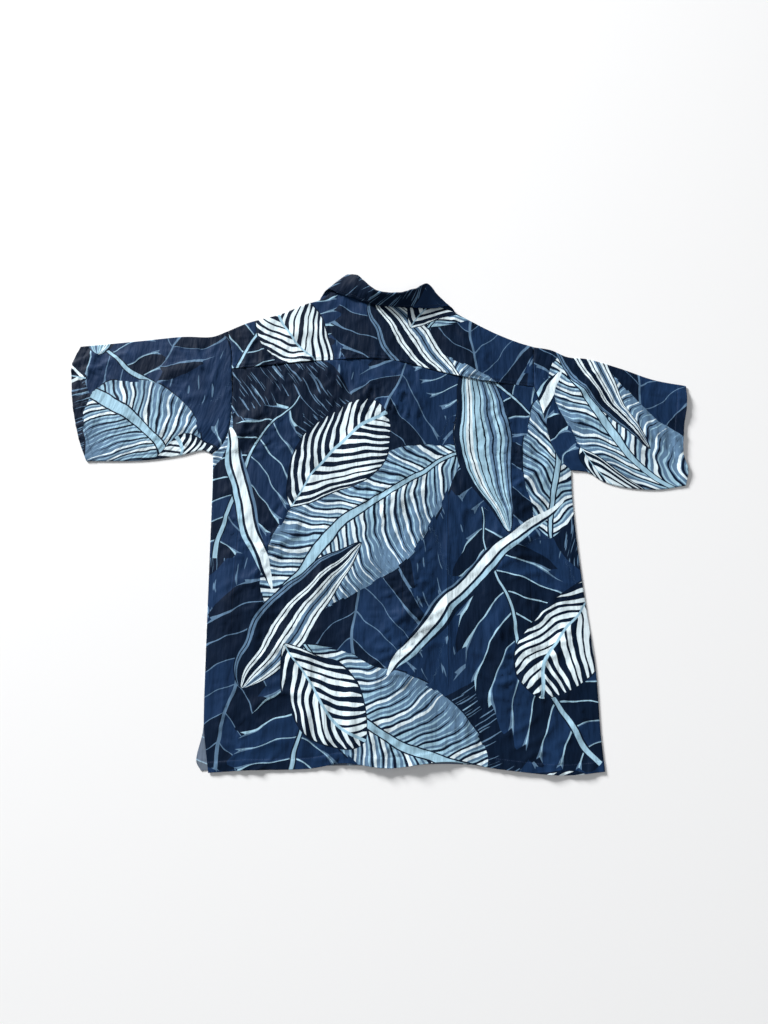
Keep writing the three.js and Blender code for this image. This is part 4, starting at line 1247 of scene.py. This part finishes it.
def button_mesh():
    """One button, with its four sewing holes cut through."""
    blank = placed("blank", turned_mesh("button", BUTTON_PROFILE, BUTTON_SIDES))
    bm = bmesh.new()
    for x, y in ((-1, -1), (1, -1), (1, 1), (-1, 1)):
        place = Matrix.Translation((x * HOLE_REACH, y * HOLE_REACH, 1.0))
        bmesh.ops.create_cone(
            bm, cap_ends=True, segments=HOLE_SIDES, radius1=HOLE_RADIUS, radius2=HOLE_RADIUS, depth=4,
            matrix=place,
        )
    drill_mesh = bpy.data.meshes.new("drill")
    bm.to_mesh(drill_mesh)
    bm.free()
    drill = placed("drill", drill_mesh)
    cut = blank.modifiers.new("holes", "BOOLEAN")
    cut.object = drill
    cut.solver = "EXACT"
    plain = finished_mesh(blank)
    for part in (blank, drill):
        bpy.data.objects.remove(part)
    return plain


def make_buttons(material):
    """The six buttons down the front, all alike."""
    pattern = button_mesh()
    shape = np.zeros(len(pattern.vertices) * 3)
    pattern.vertices.foreach_get("co", shape)
    shape = shape.reshape(-1, 3)
    for number, (x, y) in enumerate(BUTTONS, 1):
        mesh = pattern.copy()
        mesh.vertices.foreach_set("co", to_metres(shape + [x, y, 0]).ravel())
        mesh.polygons.foreach_set("use_smooth", np.ones(len(mesh.polygons), bool))
        mesh.set_sharp_from_angle(angle=math.radians(40))
        mesh.materials.append(material)
        piece = placed(f"button_{number}_turned", mesh)
        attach(piece, "root")
        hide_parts(f"button_{number}")


def round_collar(grid):
    """Values along the collar's stitching: out along one end, round the edge and in along the other."""
    near_end, near_roll = 3, STAND_POINTS + TURN_POINTS - 1
    return np.concatenate([
        grid[near_end, near_roll:STITCHED_COLUMN],
        grid[near_end + 1 : -near_end - 1, STITCHED_COLUMN],
        grid[-near_end - 1, STITCHED_COLUMN : near_roll - 1 : -1],
    ])


def stitch_rows(made):
    """Every row of stitching on the shirt."""
    _, back, back_up = made["back"]
    _, yoke, yoke_up = made["yoke"]
    rows = [
        row_of(back[STITCHED_ROW], back_up[STITCHED_ROW]),
        row_of(yoke[TOPSTITCH_ROW], yoke_up[TOPSTITCH_ROW]),
    ]
    for node in ("front_left", "front_right"):
        _, upper, up = made[node]
        lower = upper - up * CLOTH_THICK
        rows.append(row_of(lower[STITCHED_ROW], -up[STITCHED_ROW]))
    for node in ("sleeve_left", "sleeve_right"):
        _, outer, up = made[node]
        ring, way = outer[-1 - STITCHED_ROW], up[-1 - STITCHED_ROW]
        for layer in (way[:, 2] > 0.7, way[:, 2] < -0.7):
            rows.append(row_of(ring[layer], way[layer]))
    _, inner, up = made["collar"]
    outer = inner - up * COLLAR_THICK
    for face, way in ((inner, up), (outer, -up)):
        rows.append(row_of(round_collar(face), round_collar(way)))
    # the buttonholes lie on the lower face of the left front, and like the buttons' thread face the floor
    hole_z = LAP_LIFT + WALL / 2 - CLOTH_THICK / 2 - 0.05
    down = (0, 0, -1)
    for x, y in BUTTONS:
        loop = [(-0.95, -1), (0.95, -1), (0.95, 1), (-0.95, 1)]
        points = [(x + side, y + end * BUTTONHOLE_HALF, hole_z) for side, end in loop]
        rows.append(row_of(points, down, True, SATIN_PITCH, SATIN_LENGTH, SATIN_WIDTH))
        for side in (-HOLE_REACH, HOLE_REACH):
            points = [(x, y + side + end, THREAD_Z) for end in (-THREAD_HALF, THREAD_HALF)]
            rows.append(row_of(points, down, False, THREAD_PITCH, THREAD_LENGTH, THREAD_WIDTH))
    return rows


# Build the pieces
cloth_material = printed_cloth()
button_material = plain_material("button_resin", (0.012, 0.02, 0.045), rough=0.25, coat=0.6, grain=0.35)
thread_material = plain_material("navy_thread", (0.02, 0.035, 0.085), rough=0.6, grain=0.3)

made = {
    "back": make_back(),
    "yoke": make_yoke(),
    "front_left": make_front("front_left", True),
    "front_right": make_front("front_right", False),
    "sleeve_left": make_sleeve(
        "sleeve_left", LEFT_SLEEVE, LEFT_ARMHOLE, LEFT_ARMHOLE_TOP, -1, math.radians(15)
    ),
    "sleeve_right": make_sleeve(
        "sleeve_right", RIGHT_SLEEVE, RIGHT_ARMHOLE, RIGHT_ARMHOLE_TOP, 1, math.radians(-10)
    ),
    "collar": make_collar(),
}

# half the width of the floor, in metres
FLOOR_HALF = 6
floor_corners = [(x * FLOOR_HALF, y * FLOOR_HALF, 0) for x, y in ((-1, -1), (1, -1), (1, 1), (-1, 1))]
floor_mesh = bpy.data.meshes.new("floor")
floor_mesh.from_pydata(floor_corners, [], [(0, 1, 2, 3)])
floor = placed("floor", floor_mesh)
floor_mesh.materials.append(plain_material("pale_floor", (0.9, 0.9, 0.9), rough=0.7, grain=0.01))

for node, (piece, _, _) in made.items():
    piece.data.materials.append(cloth_material)
    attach(piece, "root")
    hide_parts(node)

make_buttons(button_material)
stitches = sew(stitch_rows(made), thread_material)
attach(stitches, "root")

# Camera: a phone held over the hem, tilted towards the collar
CAMERA_HEIGHT = 1.2
CAMERA_TILT = 17
FOCAL_PIXELS = 769
LONG_SIDE_PIXELS = 1024
SENSOR = 36.0
camera_data = bpy.data.cameras.new("camera")
camera_data.sensor_width = SENSOR
camera_data.lens = SENSOR * FOCAL_PIXELS / LONG_SIDE_PIXELS
camera = placed("camera", camera_data)
camera.location = (-CENTRE[0] * MM, -CENTRE[1] * MM, CAMERA_HEIGHT)
camera.rotation_euler = (math.radians(CAMERA_TILT), 0, 0)
bpy.context.scene.camera = camera

# Light: a pale sky and two broad soft lamps
world = bpy.data.worlds.new("sky")
world.use_nodes = True
world.node_tree.nodes["Background"].inputs["Color"].default_value = (0.93, 0.96, 1.0, 1.0)
world.node_tree.nodes["Background"].inputs["Strength"].default_value = 0.19
bpy.context.scene.world = world


def lamp(name, place, size, power):
    """A square lamp that is turned to the middle of the shirt."""
    data = bpy.data.lights.new(name, "AREA")
    data.size = size
    data.energy = power
    shining = placed(name, data)
    shining.location = place
    x, y, z = place
    pitch = math.atan2(z, math.hypot(x, y))
    shining.rotation_euler = (math.pi / 2 - pitch, 0, math.atan2(-y, -x) - math.pi / 2)


lamp("window", place=(-6.0, 6.6, 3.6), size=2.6, power=1880)
lamp("ceiling", place=(0.8, -0.8, 2.6), size=2.0, power=14)
bpy.context.scene.view_settings.view_transform = "Standard"
